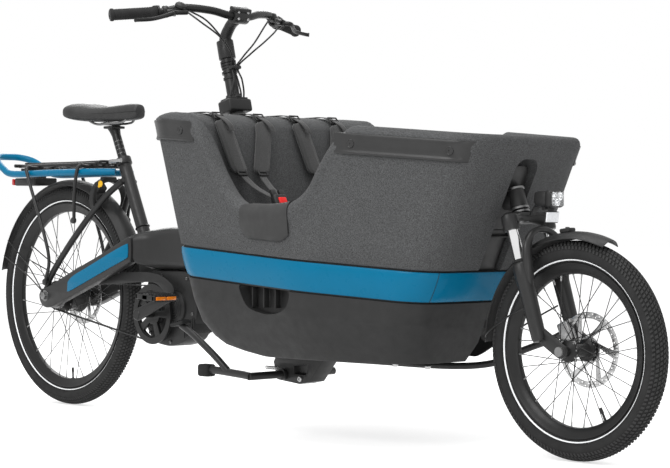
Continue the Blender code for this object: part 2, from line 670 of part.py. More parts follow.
def box_point(column, level, inset=0.0, rear_inset=None):
    """A point on the box at one column of its outline, at a level that falls to the front."""
    x, y = outline(level, inset, rear_inset)[column]
    return Vector((x, y, level - between(BOX_LEVELS, level, 3) * max(x - BOX_FALL_START, 0.0)))


def crest_level(column, inset=0.0):
    """Level of the foam's rim at one place of its plan, lower in the scoops of the long sides."""
    x, y, _ = foam_point(column, FOAM_CREST, inset)
    if x < SCOOP[0][0] or x > SCOOP[-1][0]:
        return FOAM_CREST
    height = min(between(SCOOP, x, 1) + 0.087 * max(x - BOX_FALL_START, 0.0), FOAM_CREST)
    share = min(max((abs(y) - 0.20) / 0.045, 0.0), 1.0)
    return FOAM_CREST - (FOAM_CREST - height) * share


def foam_point(column, level, inset):
    """A point on the foam, whose backrest is thicker than its other walls."""
    return box_point(column, level, inset, inset * FOAM_BACKREST / FOAM_WALL if inset > 0 else inset)


def foam_section(column):
    """Outer wall, rounded rim and inner wall of the foam at one column."""
    steps = [(0.0, 0.0, None), (0.5, 0.0, None), (1.0, 0.0, 0.024),
             (1.0, 0.0035, 0.011), (1.0, 0.012, 0.003), (1.0, 0.033, 0.003),
             (1.0, 0.0415, 0.011), (1.0, FOAM_WALL, 0.024), (0.0, FOAM_WALL, None)]
    section = []
    for share, inset, below in steps:
        crest = crest_level(column, inset)
        level = FOAM_BOTTOM + (crest - 0.024 - FOAM_BOTTOM) * share
        if below is not None:
            level = crest - below
        section.append(foam_point(column, level, inset))
    return section


def patch(columns, levels, lift, thick):
    """A thin pad lying on the foam's outer wall over a run of columns."""
    rings = []
    for column in columns:
        outer = [box_point(column, level, -lift - thick) for level in levels]
        inner = [box_point(column, level, -lift) for level in reversed(levels)]
        rings.append(outer + inner)
    return rings


POST_HALF_WIDTH, POST_DEPTH, POST_BEHIND = 0.0375, 0.022, 0.014


def post_section(z, margin=0.0, front_margin=0.0):
    """Rounded cross-section of the front post, just behind the box's raked front face."""
    front = BOX_FRONT_X + (z - BOX_FRONT_Z) * BOX_FRONT_RAKE - POST_BEHIND + front_margin
    back = front - POST_DEPTH - margin - front_margin
    y = POST_HALF_WIDTH + margin
    r = 0.008
    return [Vector((px, py, z)) for px, py in (
        (back, -y + r), (back + r, -y), (front - r, -y), (front, -y + r * 1.6),
        (front, y - r * 1.6), (front - r, y), (back + r, y), (back, y - r))]


def column_channel(name):
    """Cutter for the steering column and its head tube."""
    return rod(name, on_column(0.18), on_column(0.93), COLUMN_HEAD_R + 0.003, sides=16)


def beam_recess(name):
    """Cutter where the rear beam enters the box."""
    return block(name, (0.860, 0.0, 0.452), (0.150, 0.104, 0.200))


def cargo_box():
    """Foam tub walls: one ring with a thick backrest and a scoop in each long side."""
    rings = [foam_section(column) for column in range(COLUMNS)]
    slot = loft("post_slot", [post_section(0.42, 0.002, 0.06), post_section(0.712, 0.002, 0.06)])
    part("cargo_box", loft("foam", rings, around=True), "foam",
         cuts=[column_channel("foam_channel"), beam_recess("foam_recess"), slot])


def cargo_band():
    """Hard band between the foam and the lower tub."""
    section = [(BAND_BOTTOM, 0.0), (BAND_TOP, 0.0), (BAND_SEAT, 0.0065),
               (BAND_SEAT, BAND_THICK), (TUB_TOP + GAP, BAND_THICK), (TUB_TOP + GAP, 0.0065)]
    rings = [[box_point(column, level, inset) for level, inset in section] for column in range(COLUMNS)]
    part("cargo_band", loft("band", rings, around=True), "blue_paint",
         cuts=[column_channel("band_channel"), beam_recess("band_recess")])


def tub_bottom(column):
    """The tub's lower edge rises beside the middle apron at the front."""
    x, y = outline(0.3)[column]
    start, length = (1.56, 0.09) if y > 0 else (1.60, 0.05)
    rise = min(max((x - start) / length, 0.0), 1.0) if abs(y) > 0.05 else 0.0
    return TUB_BOTTOM + 0.049 * rise


def lower_tub():
    """Plastic tub below the band: floor, inner walls, rim and an open skirt underneath."""
    rings = []
    stations = [(FLOOR_TOP, TUB_WALL, False), (TUB_TOP, TUB_WALL, False),
                (TUB_TOP, 0.0, False), (0.36, 0.0, False), (0.300, 0.0, False),
                (0.240, 0.0, True), (TUB_BOTTOM, 0.0, True), (TUB_BOTTOM, TUB_WALL, True),
                (FLOOR_TOP - FLOOR_THICK, TUB_WALL, False)]
    for level, inset, skirt in stations:
        ring = []
        for column in range(COLUMNS):
            lowest = tub_bottom(column)
            share = (FLOOR_TOP - FLOOR_THICK - lowest) / (FLOOR_TOP - FLOOR_THICK - TUB_BOTTOM)
            used = level
            if skirt:
                used = FLOOR_TOP - FLOOR_THICK - (FLOOR_TOP - FLOOR_THICK - level) * share
            ring.append(box_point(column, used, inset))
        rings.append(ring)
    hole = loft("post_hole", [post_section(0.20, 0.002, 0.002), post_section(0.44, 0.002, 0.002)])
    rail_way = block("rail_way", (1.080, 0.0, 0.236), (0.360, 0.066, 0.0725))
    rod_way = block("rod_way", (1.690, 0.125, 0.262), (0.120, 0.150, 0.120))
    part("lower_tub", loft("tub", rings), "dark_plastic",
         cuts=[column_channel("tub_channel"), beam_recess("tub_recess"), hole, rod_way, rail_way])


def on_side(column, side):
    """The column itself on the right, or its mirror image on the left."""
    return column if side < 0 else (COLUMNS - column) % COLUMNS


def box_trim():
    """Step pads in the scoops, handle strips on the front rim and rear corner caps."""
    pad_columns = [c for c in range(HALF) if 1.19 < outline(0.6)[c][0] < 1.38]
    handle_columns = [c for c in range(HALF - 2) if outline(0.8)[c][0] > 1.53]
    cap_columns = range(5, 11)
    for name, side in SIDES:
        rings = []
        for column in (on_side(c, side) for c in pad_columns):
            levels = [(crest_level(column, inset) - below, inset) for below, inset in (
                (0.085, 0.0), (0.024, 0.0), (0.011, 0.0035), (0.003, 0.012), (0.003, 0.033))]
            lower, upper = [], []
            for level, inset in levels:
                rise = 1.0 if inset > 0.003 else 0.0
                lower.append(foam_point(column, level + 0.0010 * rise, inset - 0.0010))
                upper.append(foam_point(column, level + 0.0040 * rise, inset - 0.0040))
            rings.append(upper + lower[::-1])
        part("step_pad_" + name, loft("pad", rings), "rubber")
        strip = patch([on_side(c, side) for c in handle_columns], [0.786, 0.792, 0.824, 0.830],
                      0.0006, 0.004)
        part("rim_handle_" + name, loft("strip", strip), "dark_plastic")
        cap = patch([on_side(c, side) for c in cap_columns], [0.800, 0.804, 0.826, 0.830],
                    0.0006, 0.004)
        part("rear_cap_" + name, loft("cap", cap), "dark_plastic")


def bench_seat():
    """Padded bench that two children sit on, in front of the backrest."""
    part("bench_seat", block("bench", (1.145, 0.0, 0.550), (0.220, 0.500, 0.040), 0.015), "fabric")


def harness(name, side):
    """One child's five-point harness: two shoulder pads, their straps and the buckle."""
    middle = side * 0.138
    pieces = [block("buckle", (1.128, middle, 0.612), (0.030, 0.050, 0.050), 0.006, segments=1)]
    for offset in (-0.0725, 0.0725):
        y = middle + offset
        pieces.append(strap("pad", [(0.938, y, 0.8640), (0.972, y, 0.846),
                                    (0.983, middle + offset * 0.9, 0.800),
                                    (0.995, middle + offset * 0.7, 0.740),
                                    (1.006, middle + offset * 0.5, 0.690)], 0.042, 0.012, spans=2))
        pieces.append(strap("webbing", [(1.006, middle + offset * 0.5, 0.700),
                                        (1.052, middle + offset * 0.36, 0.655),
                                        (1.120, middle + offset * 0.2, 0.615)], 0.024, 0.003, spans=2))
    pieces.append(strap("crotch_webbing", [(1.130, middle, 0.600), (1.150, middle, 0.5745)],
                        0.026, 0.003, spans=1))
    part("harness_" + name, pieces, "fabric")


def battery():
    """Battery pack, stood on the floor under the bench."""
    part("battery", block("pack", (1.150, 0.0, 0.388), (0.090, 0.340, 0.200), 0.012), "dark_plastic")


cargo_box()
cargo_band()
lower_tub()
box_trim()
bench_seat()
battery()
for side_name, side_sign in SIDES:
    harness(side_name, side_sign)


# ---------------------------------------------------------------- frame
def seat_line(z, y=0.0):
    """A point on the seat tube's axis at the given height."""
    return Vector((0.285 + SEAT_TUBE_SLOPE * (0.702 - z), y, z))


def beam_section(x, bottom, top, half_width):
    """Rounded upright cross-section of a frame beam."""
    middle, height = (bottom + top) / 2, (top - bottom) / 2
    r = min(half_width, height) * 0.45
    return [Vector((x, y, z)) for y, z in (
        (-half_width, middle - height + r), (-half_width + r, bottom), (half_width - r, bottom),
        (half_width, middle - height + r), (half_width, middle + height - r), (half_width - r, top),
        (-half_width + r, top), (-half_width, middle + height - r))]


def rear_frame():
    """Welded rear frame: beam over the motor, seat tube, chainstays with axle stubs, seat stays."""
    beam = [(0.385, 0.455, 0.512, 0.098), (0.425, 0.440, 0.528, 0.092), (0.470, 0.424, 0.540, 0.062),
            (0.540, 0.4225, 0.546, 0.046), (0.657, 0.4225, 0.539, 0.040), (0.760, 0.412, 0.524, 0.036),
            (0.880, 0.392, 0.505, 0.033)]
    pieces = [loft("beam", [beam_section(*row) for row in beam])]
    pieces.append(rod("seat_tube", seat_line(0.500), seat_line(0.745), SEAT_TUBE_R, sides=16))
    pieces.append(rod("seat_collar", seat_line(0.733), seat_line(0.751), 0.0235, sides=16))
    pieces.append(strap("seat_brace", [(0.330, 0, 0.585), (0.420, 0, 0.545), (0.520, 0, 0.535)],
                        0.030, 0.030, spans=2))
    for _, side in SIDES:
        y = side * STAY_Y
        outline_points = [(-0.034, 0.340), (-0.030, 0.320), (-0.014, 0.304), (0.010, 0.300), (0.052, 0.310),
                          (0.240, 0.377), (0.426, 0.446), (0.426, 0.518), (0.402, 0.515), (0.270, 0.462),
                          (0.130, 0.411), (0.000, 0.361), (-0.024, 0.356)]
        pieces.append(plate("chainstay", [outline_points], STAY_THICK, y))
        pieces.append(rod("axle_stub", (0, side * 0.020, REAR_AXLE.z), (0, side * 0.080, REAR_AXLE.z),
                          AXLE_R, sides=16))
        pieces.append(rod("axle_nut", (0, side * 0.094, REAR_AXLE.z), (0, side * 0.104, REAR_AXLE.z),
                          0.0125, sides=6))
        pieces.append(tube("seat_stay", [(-0.015, y, 0.350), (0.055, y * 0.92, 0.473),
                                         (0.149, y * 0.86, 0.544), (0.217, y * 0.72, 0.580),
                                         (0.262, side * 0.032, 0.640), seat_line(0.672, side * 0.010)],
                           0.0095, spans=2, resolution=2))
    bore = rod("seatpost_bore", seat_line(0.530), seat_line(0.800), SEATPOST_R + 0.0005, sides=16)
    head_seat = rod("column_seat", on_column(0.20), on_column(0.93), COLUMN_HEAD_R + GAP, sides=16)
    part("rear_frame", pieces, "black_paint", cuts=[bore, head_seat])


def front_frame():
    """Welded front frame: column head tube, rail under the floor, front post and fork head."""
    head = rod("column_head", on_column(0.244), on_column(0.862), COLUMN_HEAD_R, sides=16)
    rail = loft("rail", [beam_section(x, 0.2385, 0.2680, 0.030) for x in (0.925, 1.620)])
    post = loft("post", [post_section(z) for z in (0.2385, 0.430, 0.565, 0.680, 0.696)])
    fork_head = rod("fork_head", on_fork(-0.004, 0), on_fork(0.050, 0), FORK_HEAD_R, sides=16)
    gusset = block("gusset", on_fork(0.012, -0.030), (0.050, 0.032, 0.030), 0.004, FORK_LEAN)
    bores = [rod("column_bore", on_column(0.15), on_column(0.95), COLUMN_R + 0.0008, sides=16),
             rod("steerer_bore", on_fork(-0.06, 0), on_fork(0.0455, 0), FORK_STEERER_R + 0.0006, sides=14)]
    part("front_frame", [rail, head, post, fork_head, gusset], "black_paint", cuts=bores)


def stay_inlays():
    """Coloured inlay on the outer face of each chainstay."""
    for name, side in SIDES:
        inlay = [(0.115, 0.350), (0.240, 0.394), (0.418, 0.460), (0.418, 0.500), (0.270, 0.447),
                 (0.150, 0.401), (0.118, 0.378)]
        y = side * (STAY_Y + STAY_THICK / 2 + GAP + 0.00125)
        part("stay_inlay_" + name, plate("inlay", [inlay], 0.0025, y), "blue_paint")


# ---------------------------------------------------------------- drive
def motor():
    """Mid motor housing with the bore for the crank's axle."""
    case = [(0.420, 0.300), (0.428, 0.245), (0.462, 0.212), (0.540, 0.203), (0.618, 0.230), (0.656, 0.290),
            (0.655, 0.365), (0.628, 0.412), (0.560, 0.4215), (0.470, 0.4215), (0.432, 0.370)]
    body = as_mesh(plate("case", [case], 0.084, 0.0))
    rounding = body.modifiers.new("rounding", "BEVEL")
    rounding.width = 0.006
    rounding.segments = 2
    half = Vector((0, 0.1, 0))
    bore = rod("axle_bore", BOTTOM_BRACKET - half, BOTTOM_BRACKET + half, 0.0102)
    part("motor", body, "dark_plastic", cuts=[bore])


def belt():
    """Toothed belt round the chainring and the rear sprocket."""
    centres = (REAR_AXLE.x, REAR_AXLE.z), (BOTTOM_BRACKET.x, BOTTOM_BRACKET.z)
    inner = round_both(centres[0], SPROCKET_R + GAP, centres[1], CHAINRING_R + GAP, 36)
    outer = round_both(centres[0], SPROCKET_R + GAP + BELT_THICK, centres[1],
                       CHAINRING_R + GAP + BELT_THICK, 36)
    part("belt", plate("belt_run", [outer, inner], BELT_WIDTH, -BELT_Y), "rubber")


def belt_guard():
    """Guard along the belt's upper run, outside the chainring."""
    outline_points = [(0.224, 0.372), (0.224, 0.395), (0.274, 0.405), (0.443, 0.417), (0.537, 0.407),
                      (0.575, 0.386), (0.592, 0.363), (0.566, 0.344), (0.500, 0.389), (0.430, 0.386),
                      (0.330, 0.379)]
    part("belt_guard", plate("guard", [outline_points], 0.003, -0.0655), "dark_plastic")


def crank_arm(angle, side):
    """One arm with its pedal's spindle."""
    heading = Vector((math.cos(angle), 0.0, math.sin(angle)))
    boss = BOTTOM_BRACKET + Vector((0, side * CRANK_Y, 0))
    eye = boss + heading * CRANK_LENGTH
    arm = plate("arm", [round_both(flat(boss), 0.018, flat(eye), 0.0125, 14)], 0.013, boss.y)
    spindle = rod("spindle", eye, eye + Vector((0, side * 0.094, 0)), 0.0055)
    return eye, [arm, spindle]


def pedal(name, eye, side):
    """Flat pedal body turning on its spindle."""
    holder = pivot(name + "_axis", eye, CRANK)
    middle = eye + Vector((0, side * 0.055, 0))
    body = block(name, middle, (0.096, 0.086, 0.024), 0.005, math.radians(-4))
    bore = rod("pedal_bore", eye, eye + Vector((0, side * 0.11, 0)), 0.0062)
    part(name, body, "dark_plastic", holder, [bore])


REAR_SPROCKET = pivot("rear_sprocket_axis", REAR_AXLE)
CRANK = pivot("crank_axis", BOTTOM_BRACKET)


def drive():
    """Sprocket, crankset and pedals."""
    half = BELT_WIDTH / 2
    part("rear_sprocket", turned("sprocket", [
        (0.0199, half), (SPROCKET_R, half), (SPROCKET_R, -half), (0.0199, -half)],
        REAR_AXLE - Vector((0, BELT_Y, 0)), steps=24, ring=True), "black_paint", REAR_SPROCKET)
    reach = Vector((0, CRANK_Y + 0.004, 0))
    pieces = [rod("crank_axle", BOTTOM_BRACKET - reach, BOTTOM_BRACKET + reach, 0.0095)]
    pieces.append(turned("chainring", [
        (0, half), (CHAINRING_R, half), (CHAINRING_R, -half), (0.0875, -half - 0.0012),
        (0.0875, -half - 0.0040), (0, -half - 0.0040)], BOTTOM_BRACKET - Vector((0, BELT_Y, 0)),
        steps=24))
    eyes = []
    for turn, (_, side) in zip((0.0, math.pi), SIDES):
        eye, arm = crank_arm(CRANK_ANGLE + turn, side)
        pieces += arm
        eyes.append(eye)
    part("crankset", pieces, "black_paint", CRANK)
    for eye, (name, side) in zip(eyes, SIDES):
        pedal("pedal_" + name, eye, side)


# ---------------------------------------------------------------- seat
def saddle_section(x, half_width, top, bottom):
    """Cross-section of the saddle, crowned on top and tucked in below."""
    profile = [(0.0, 1.0), (0.55, 0.97), (0.88, 0.78), (1.0, 0.45), (0.92, 0.12), (0.6, 0.0), (0.0, 0.0),
               (-0.6, 0.0), (-0.92, 0.12), (-1.0, 0.45), (-0.88, 0.78), (-0.55, 0.97)]
    return [Vector((x, half_width * a, bottom + (top - bottom) * b)) for a, b in profile]


def seat():
    """Saddle with its rails, the seatpost and its clamp, and the collar's quick-release lever."""
    holder = pivot("seatpost_axis", seat_line(0.745))
    rows = [(0.348, 0.010, 0.901, 0.884), (0.342, 0.019, 0.907, 0.876), (0.310, 0.024, 0.911, 0.873),
            (0.255, 0.031, 0.909, 0.872), (0.205, 0.044, 0.907, 0.874), (0.160, 0.062, 0.910, 0.876),
            (0.120, 0.079, 0.917, 0.880), (0.085, 0.085, 0.922, 0.884), (0.062, 0.076, 0.920, 0.888),
            (0.050, 0.050, 0.913, 0.893)]
    pieces = [loft("saddle_shell", [saddle_section(*row) for row in rows])]
    for _, side in SIDES:
        pieces.append(tube("rail", [(0.312, side * 0.010, 0.886), (0.276, side * 0.020, 0.8575),
                                    (0.230, side * 0.022, 0.8565), (0.160, side * 0.022, 0.8565),
                                    (0.105, side * 0.036, 0.890)], 0.0035, spans=2, resolution=1))
    part("saddle", pieces, "fabric", holder)
    post = rod("post", seat_line(0.560), seat_line(0.840), SEATPOST_R, sides=16)
    clamp = block("clamp", seat_line(0.840), (0.046, 0.052, 0.012), 0.003)
    part("seatpost", [post, clamp], "black_paint", holder)
    hinge = Vector((0.2445, -0.0315, 0.742))
    lever_axis = pivot("seat_clamp_axis", hinge)
    lever = strap("lever", [hinge + Vector((-0.006, 0, 0)), hinge + Vector((0.020, -0.006, 0.001)),
                            hinge + Vector((0.052, -0.001, 0.003))], 0.012, 0.006, side=(0, 0, 1), spans=2)
    part("seat_clamp_lever", lever, "steel", lever_axis)


# ---------------------------------------------------------------- rack, lights, guards, stand
def rack():
    """Blue carrier rail with its raised tail loop, and the black deck with its struts."""
    half = [seat_line(0.711, -0.026) + Vector((-0.021, 0, 0)), Vector((0.225, -0.055, RACK_Z)),
            Vector((0.165, -RACK_Y, RACK_Z)), Vector((0.000, -RACK_Y, RACK_Z)),
            Vector((-0.190, -RACK_Y, RACK_Z)), Vector((-0.250, -0.082, 0.728)),
            Vector((-0.305, -0.070, 0.756)), Vector((-0.338, -0.042, 0.768)), Vector((-0.347, 0.0, 0.770))]
    part("rack_rail", tube("rail", half + mirrored(reversed(half[:-1])), 0.0105, spans=2, resolution=2),
         "blue_paint")
    y = 0.104
    pieces = []
    for x_foot, z_foot, x_mid, z_mid, x_top in ((0.004, 0.378, 0.024, 0.470, -0.105),
                                                (0.152, 0.566, 0.158, 0.630, 0.168)):
        hoop = [Vector((x_foot, -y + 0.004, z_foot)), Vector((x_mid, -y, z_mid)),
                Vector((x_top + (x_mid - x_top) * 0.2, -y, 0.690)), Vector((x_top, -0.094, 0.7285)),
                Vector((x_top, -0.060, 0.7285)), Vector((x_top, 0.0, 0.7285))]
        pieces.append(tube("hoop", hoop + mirrored(reversed(hoop[:-1])), 0.0052, spans=2, resolution=0))
    for deck_y in (-0.046, 0.0, 0.046):
        pieces.append(tube("deck_tube", [(0.195, deck_y, 0.736), (-0.215, deck_y, 0.736)], 0.0055,
                           spans=1, resolution=0))
    pieces.append(tube("tail_tube", [(-0.205, -0.070, 0.737), (-0.205, 0.070, 0.737)], 0.0055,
                       spans=1, resolution=0))
    part("rack_deck", pieces, "black_paint")
    part("tail_light", block("lamp", (-0.200, 0.0, 0.6875), (0.130, 0.090, 0.024), 0.006), "red_lens")


def rear_fender():
    """Rear mudguard from behind the seat tube over to the tail."""
    part("rear_fender", fender_shell("rear_guard", REAR_AXLE, 0.356, 0.034, math.radians(20),
                                     math.radians(148), 16), "dark_plastic")


def ring_lock():
    """Horseshoe lock round the wheel, in front of the seat stays, with its key."""
    ring = plate("ring", [circle(0.0, 0.0, 0.066, 16, math.radians(-25), math.radians(230))
                          + circle(0.0, 0.0, 0.052, 16, math.radians(205), math.radians(-230))], 0.020, 0.0)
    ring = as_mesh(ring)
    ring.rotation_euler = (math.pi / 2, 0.0, math.pi / 2)
    ring.location = (0.190, 0.0, 0.630)
    part("ring_lock", ring, "dark_plastic")


def kickstand():
    """Bracket under the rail, and the folded two-legged stand with its foot lever."""
    bracket = [(0.990, 0.134), (0.975, 0.181), (1.005, 0.2380), (1.060, 0.2380), (1.085, 0.200),
               (1.130, 0.200), (1.178, 0.2380), (1.178, 0.198), (1.120, 0.134), (1.080, 0.126)]
    opening = [(1.056, 0.150), (1.056, 0.176), (1.118, 0.182), (1.108, 0.150)]
    bore = rod("stand_bore", STAND_PIVOT - Vector((0, 0.2, 0)), STAND_PIVOT + Vector((0, 0.2, 0)), 0.0112)
    part("stand_bracket", plate("bracket", [bracket, opening], 0.056, 0.0), "black_paint", cuts=[bore])
    holder = pivot("kickstand_axis", STAND_PIVOT)
    reach = Vector((0, 0.155, 0))
    pieces = [rod("cross_tube", STAND_PIVOT - reach, STAND_PIVOT + reach, 0.0105)]
    for _, side in SIDES:
        y = side * 0.150
        pieces.append(tube("leg", [(1.022, y, 0.150), (0.990, y, 0.153), (0.900, y, 0.158), (0.846, y, 0.160)],
                           0.0105, spans=1))
        pieces.append(block("foot", (0.838, y, 0.157), (0.044, 0.034, 0.034), 0.005, segments=1))
    pieces.append(tube("lever_bar", [(0.928, -0.150, 0.160), (0.880, -0.158, 0.200), (0.800, -0.162, 0.250),
                                     (0.745, -0.162, 0.276)], 0.0070, spans=2))
    pieces.append(block("lever_plate", (0.740, -0.162, 0.281), (0.056, 0.034, 0.008),
                        lean=math.radians(12)))
    part("kickstand", pieces, "black_paint", holder)


rear_frame()
front_frame()
stay_inlays()
motor()
belt()
belt_guard()
drive()
seat()
rack()
rear_fender()
ring_lock()
kickstand()
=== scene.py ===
"""Looks of the cargo bicycle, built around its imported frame. Lengths are in metres.

Shapes are worked out in the bicycle's own frame, with the origin on the ground below the rear
axle, +X forward and +Y left. as_object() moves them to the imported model's frame.
"""

import math

import bmesh
import bpy
from mathutils import Matrix, Vector


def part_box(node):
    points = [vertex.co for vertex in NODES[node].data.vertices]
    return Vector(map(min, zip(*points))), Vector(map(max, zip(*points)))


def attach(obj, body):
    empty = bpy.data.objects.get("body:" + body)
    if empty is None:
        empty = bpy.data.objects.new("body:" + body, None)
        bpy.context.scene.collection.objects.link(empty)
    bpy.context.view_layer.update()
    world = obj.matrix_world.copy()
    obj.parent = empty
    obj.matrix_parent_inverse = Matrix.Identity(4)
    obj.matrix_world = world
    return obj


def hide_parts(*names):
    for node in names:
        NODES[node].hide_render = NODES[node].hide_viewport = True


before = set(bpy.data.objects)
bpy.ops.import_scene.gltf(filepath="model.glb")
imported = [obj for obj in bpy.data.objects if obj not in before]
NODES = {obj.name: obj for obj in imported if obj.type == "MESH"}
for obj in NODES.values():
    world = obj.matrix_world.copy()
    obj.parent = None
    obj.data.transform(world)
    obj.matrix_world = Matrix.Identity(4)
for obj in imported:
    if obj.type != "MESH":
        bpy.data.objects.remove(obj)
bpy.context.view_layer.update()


def middle_of(node):
    """Centre of a CAD node's box."""
    low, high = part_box(node)
    return (low + high) / 2


DATUM_X = middle_of("rear_rotor").x
SIDES = (("right", -1.0), ("left", 1.0))
BOTH = (-1.0, 1.0)


# ---------------------------------------------------------------- materials
class Nodes:
    """Short calls for a material's nodes; coordinates are the object's own, in metres."""

    def __init__(self, name, colour, roughness, metallic=0.0, **shader_values):
        self.material = bpy.data.materials.new(name)
        self.material.use_nodes = True
        self.tree = self.material.node_tree
        self.shader = self.tree.nodes["Principled BSDF"]
        self.shader.inputs["Base Color"].default_value = (*colour, 1.0)
        self.shader.inputs["Roughness"].default_value = roughness
        self.shader.inputs["Metallic"].default_value = metallic
        for socket, value in shader_values.items():
            self.shader.inputs[socket.replace("_", " ")].default_value = value
        self.place = self.tree.nodes.new("ShaderNodeTexCoord").outputs["Object"]
        self.normal = None

    def node(self, kind, **values):
        made = self.tree.nodes.new(kind)
        for key, value in values.items():
            setattr(made, key, value)
        return made

    def noise(self, scale, detail=3.0, stretch=None):
        made = self.node("ShaderNodeTexNoise")
        made.inputs["Scale"].default_value = scale
        made.inputs["Detail"].default_value = detail
        self.tree.links.new(self.stretched(stretch), made.inputs["Vector"])
        return made.outputs["Fac"]

    def cells(self, scale):
        made = self.node("ShaderNodeTexVoronoi")
        made.inputs["Scale"].default_value = scale
        self.tree.links.new(self.place, made.inputs["Vector"])
        return made.outputs["Distance"]

    def waves(self, scale, direction, distortion=0.0):
        made = self.node("ShaderNodeTexWave", bands_direction=direction)
        made.inputs["Scale"].default_value = scale
        made.inputs["Distortion"].default_value = distortion
        made.inputs["Detail"].default_value = 1.0
        self.tree.links.new(self.place, made.inputs["Vector"])
        return made.outputs["Fac"]

    def stretched(self, factors):
        if factors is None:
            return self.place
        made = self.node("ShaderNodeMapping")
        made.inputs["Scale"].default_value = factors
        self.tree.links.new(self.place, made.inputs["Vector"])
        return made.outputs["Vector"]

    def ramp(self, source, low, high, start=0.0, end=1.0):
        made = self.node("ShaderNodeMapRange")
        self.tree.links.new(source, made.inputs["Value"])
        for name, value in (("From Min", start), ("From Max", end), ("To Min", low), ("To Max", high)):
            made.inputs[name].default_value = value
        return made.outputs["Result"]

    def colours(self, source, first, second, start=0.3, end=0.7):
        made = self.node("ShaderNodeValToRGB")
        made.color_ramp.elements[0].position = start
        made.color_ramp.elements[0].color = (*first, 1.0)
        made.color_ramp.elements[1].position = end
        made.color_ramp.elements[1].color = (*second, 1.0)
        self.tree.links.new(source, made.inputs["Fac"])
        self.tree.links.new(made.outputs["Color"], self.shader.inputs["Base Color"])

    def rough(self, source, low, high, start=0.3, end=0.7):
        self.tree.links.new(self.ramp(source, low, high, start, end), self.shader.inputs["Roughness"])

    def bump(self, source, depth, strength=0.5):
        made = self.node("ShaderNodeBump")
        made.inputs["Distance"].default_value = depth
        made.inputs["Strength"].default_value = strength
        self.tree.links.new(source, made.inputs["Height"])
        if self.normal is not None:
            self.tree.links.new(self.normal, made.inputs["Normal"])
        self.normal = made.outputs["Normal"]
        self.tree.links.new(self.normal, self.shader.inputs["Normal"])


def grey(level, tint=0.0):
    """A near-neutral colour, a little cooler with a positive tint."""
    return (level * (1 - tint), level, level * (1 + tint))


def foam_material():
    """Moulded bead foam: fine light and dark speckle and a pebbled skin."""
    look = Nodes("bead_foam", grey(0.056), 0.90, Specular_IOR_Level=0.15)
    speckle = look.noise(650.0, 2.0)
    look.colours(speckle, grey(0.024), grey(0.084, 0.02), 0.36, 0.64)
    look.rough(look.noise(9.0), 0.82, 0.94)
    look.bump(look.cells(420.0), 0.0006, 0.35)
    look.bump(look.noise(14.0), 0.002, 0.12)
    return look.material


def paint_material(name, colour, dark, roughness, coat=0.0, gloss=0.22):
    """Powder or clear-coated paint with slight orange peel and a faint change of tone."""
    look = Nodes(name, colour, roughness, Coat_Weight=coat, Coat_Roughness=0.08, Specular_IOR_Level=gloss)
    look.colours(look.noise(22.0, 4.0), dark, colour, 0.25, 0.75)
    look.rough(look.noise(60.0, 4.0), roughness * 0.85, roughness * 1.2)
    look.bump(look.noise(900.0, 1.0), 0.00015, 0.25)
    return look.material


def plastic_material(name, level, roughness, grain=1100.0, depth=0.0002):
    """Injection-moulded plastic with a spark-eroded grain."""
    look = Nodes(name, grey(level), roughness, Specular_IOR_Level=0.22)
    look.colours(look.noise(30.0, 4.0), grey(level * 0.88), grey(level * 1.10), 0.3, 0.7)
    look.rough(look.noise(45.0, 3.0), roughness * 0.9, min(roughness * 1.12, 1.0))
    look.bump(look.noise(grain, 2.0), depth, 0.4)
    return look.material


def metal_material(name, level, roughness, brushed=None):
    """Bare or plated metal; brushed stretches its fine scratches."""
    look = Nodes(name, grey(level), roughness, 1.0)
    scratches = look.noise(260.0, 3.0, brushed)
    look.rough(scratches, roughness * 0.7, roughness * 1.4)
    look.colours(look.noise(18.0, 3.0), grey(level * 0.9), grey(level), 0.3, 0.7)
    look.bump(scratches, 0.00005, 0.3)
    return look.material


def cloth_material(name, level, scale, sheen=0.25):
    """Woven fabric: crossed threads with a little fuzz."""
    look = Nodes(name, grey(level), 0.92, Sheen_Weight=sheen, Sheen_Roughness=0.5)
    look.colours(look.noise(380.0, 3.0), grey(level * 0.65), grey(level * 1.35), 0.3, 0.7)
    look.bump(look.waves(scale, "X", 1.0), 0.0003, 0.35)
    look.bump(look.waves(scale, "Y", 1.0), 0.0003, 0.35)
    look.bump(look.waves(scale, "Z", 1.0), 0.0003, 0.25)
    return look.material


def leather_material():
    """Grained saddle cover."""
    look = Nodes("saddle_grain", grey(0.016), 0.46, Specular_IOR_Level=0.35)
    look.colours(look.noise(60.0, 4.0), grey(0.013), grey(0.020), 0.3, 0.7)
    look.rough(look.cells(260.0), 0.42, 0.60, 0.0, 0.6)
    look.bump(look.cells(520.0), 0.0004, 0.35)
    return look.material


def clear_material():
    """Polycarbonate lens."""
    look = Nodes("clear_lens", (0.95, 0.96, 0.97), 0.03, Transmission_Weight=0.9, IOR=1.5)
    look.bump(look.noise(120.0, 1.0), 0.00008, 0.15)
    return look.material


def reflector_material(name, colour, roughness=0.15, coat=0.6):
    """Prismatic reflector behind a smooth face."""
    look = Nodes(name, colour, roughness, 0.0, Coat_Weight=coat, Coat_Roughness=0.05)
    facets = look.cells(420.0)
    dim = tuple(channel * 0.72 for channel in colour)
    look.colours(facets, dim, colour, 0.15, 0.55)
    look.bump(facets, 0.0004, 0.5)
    return look.material


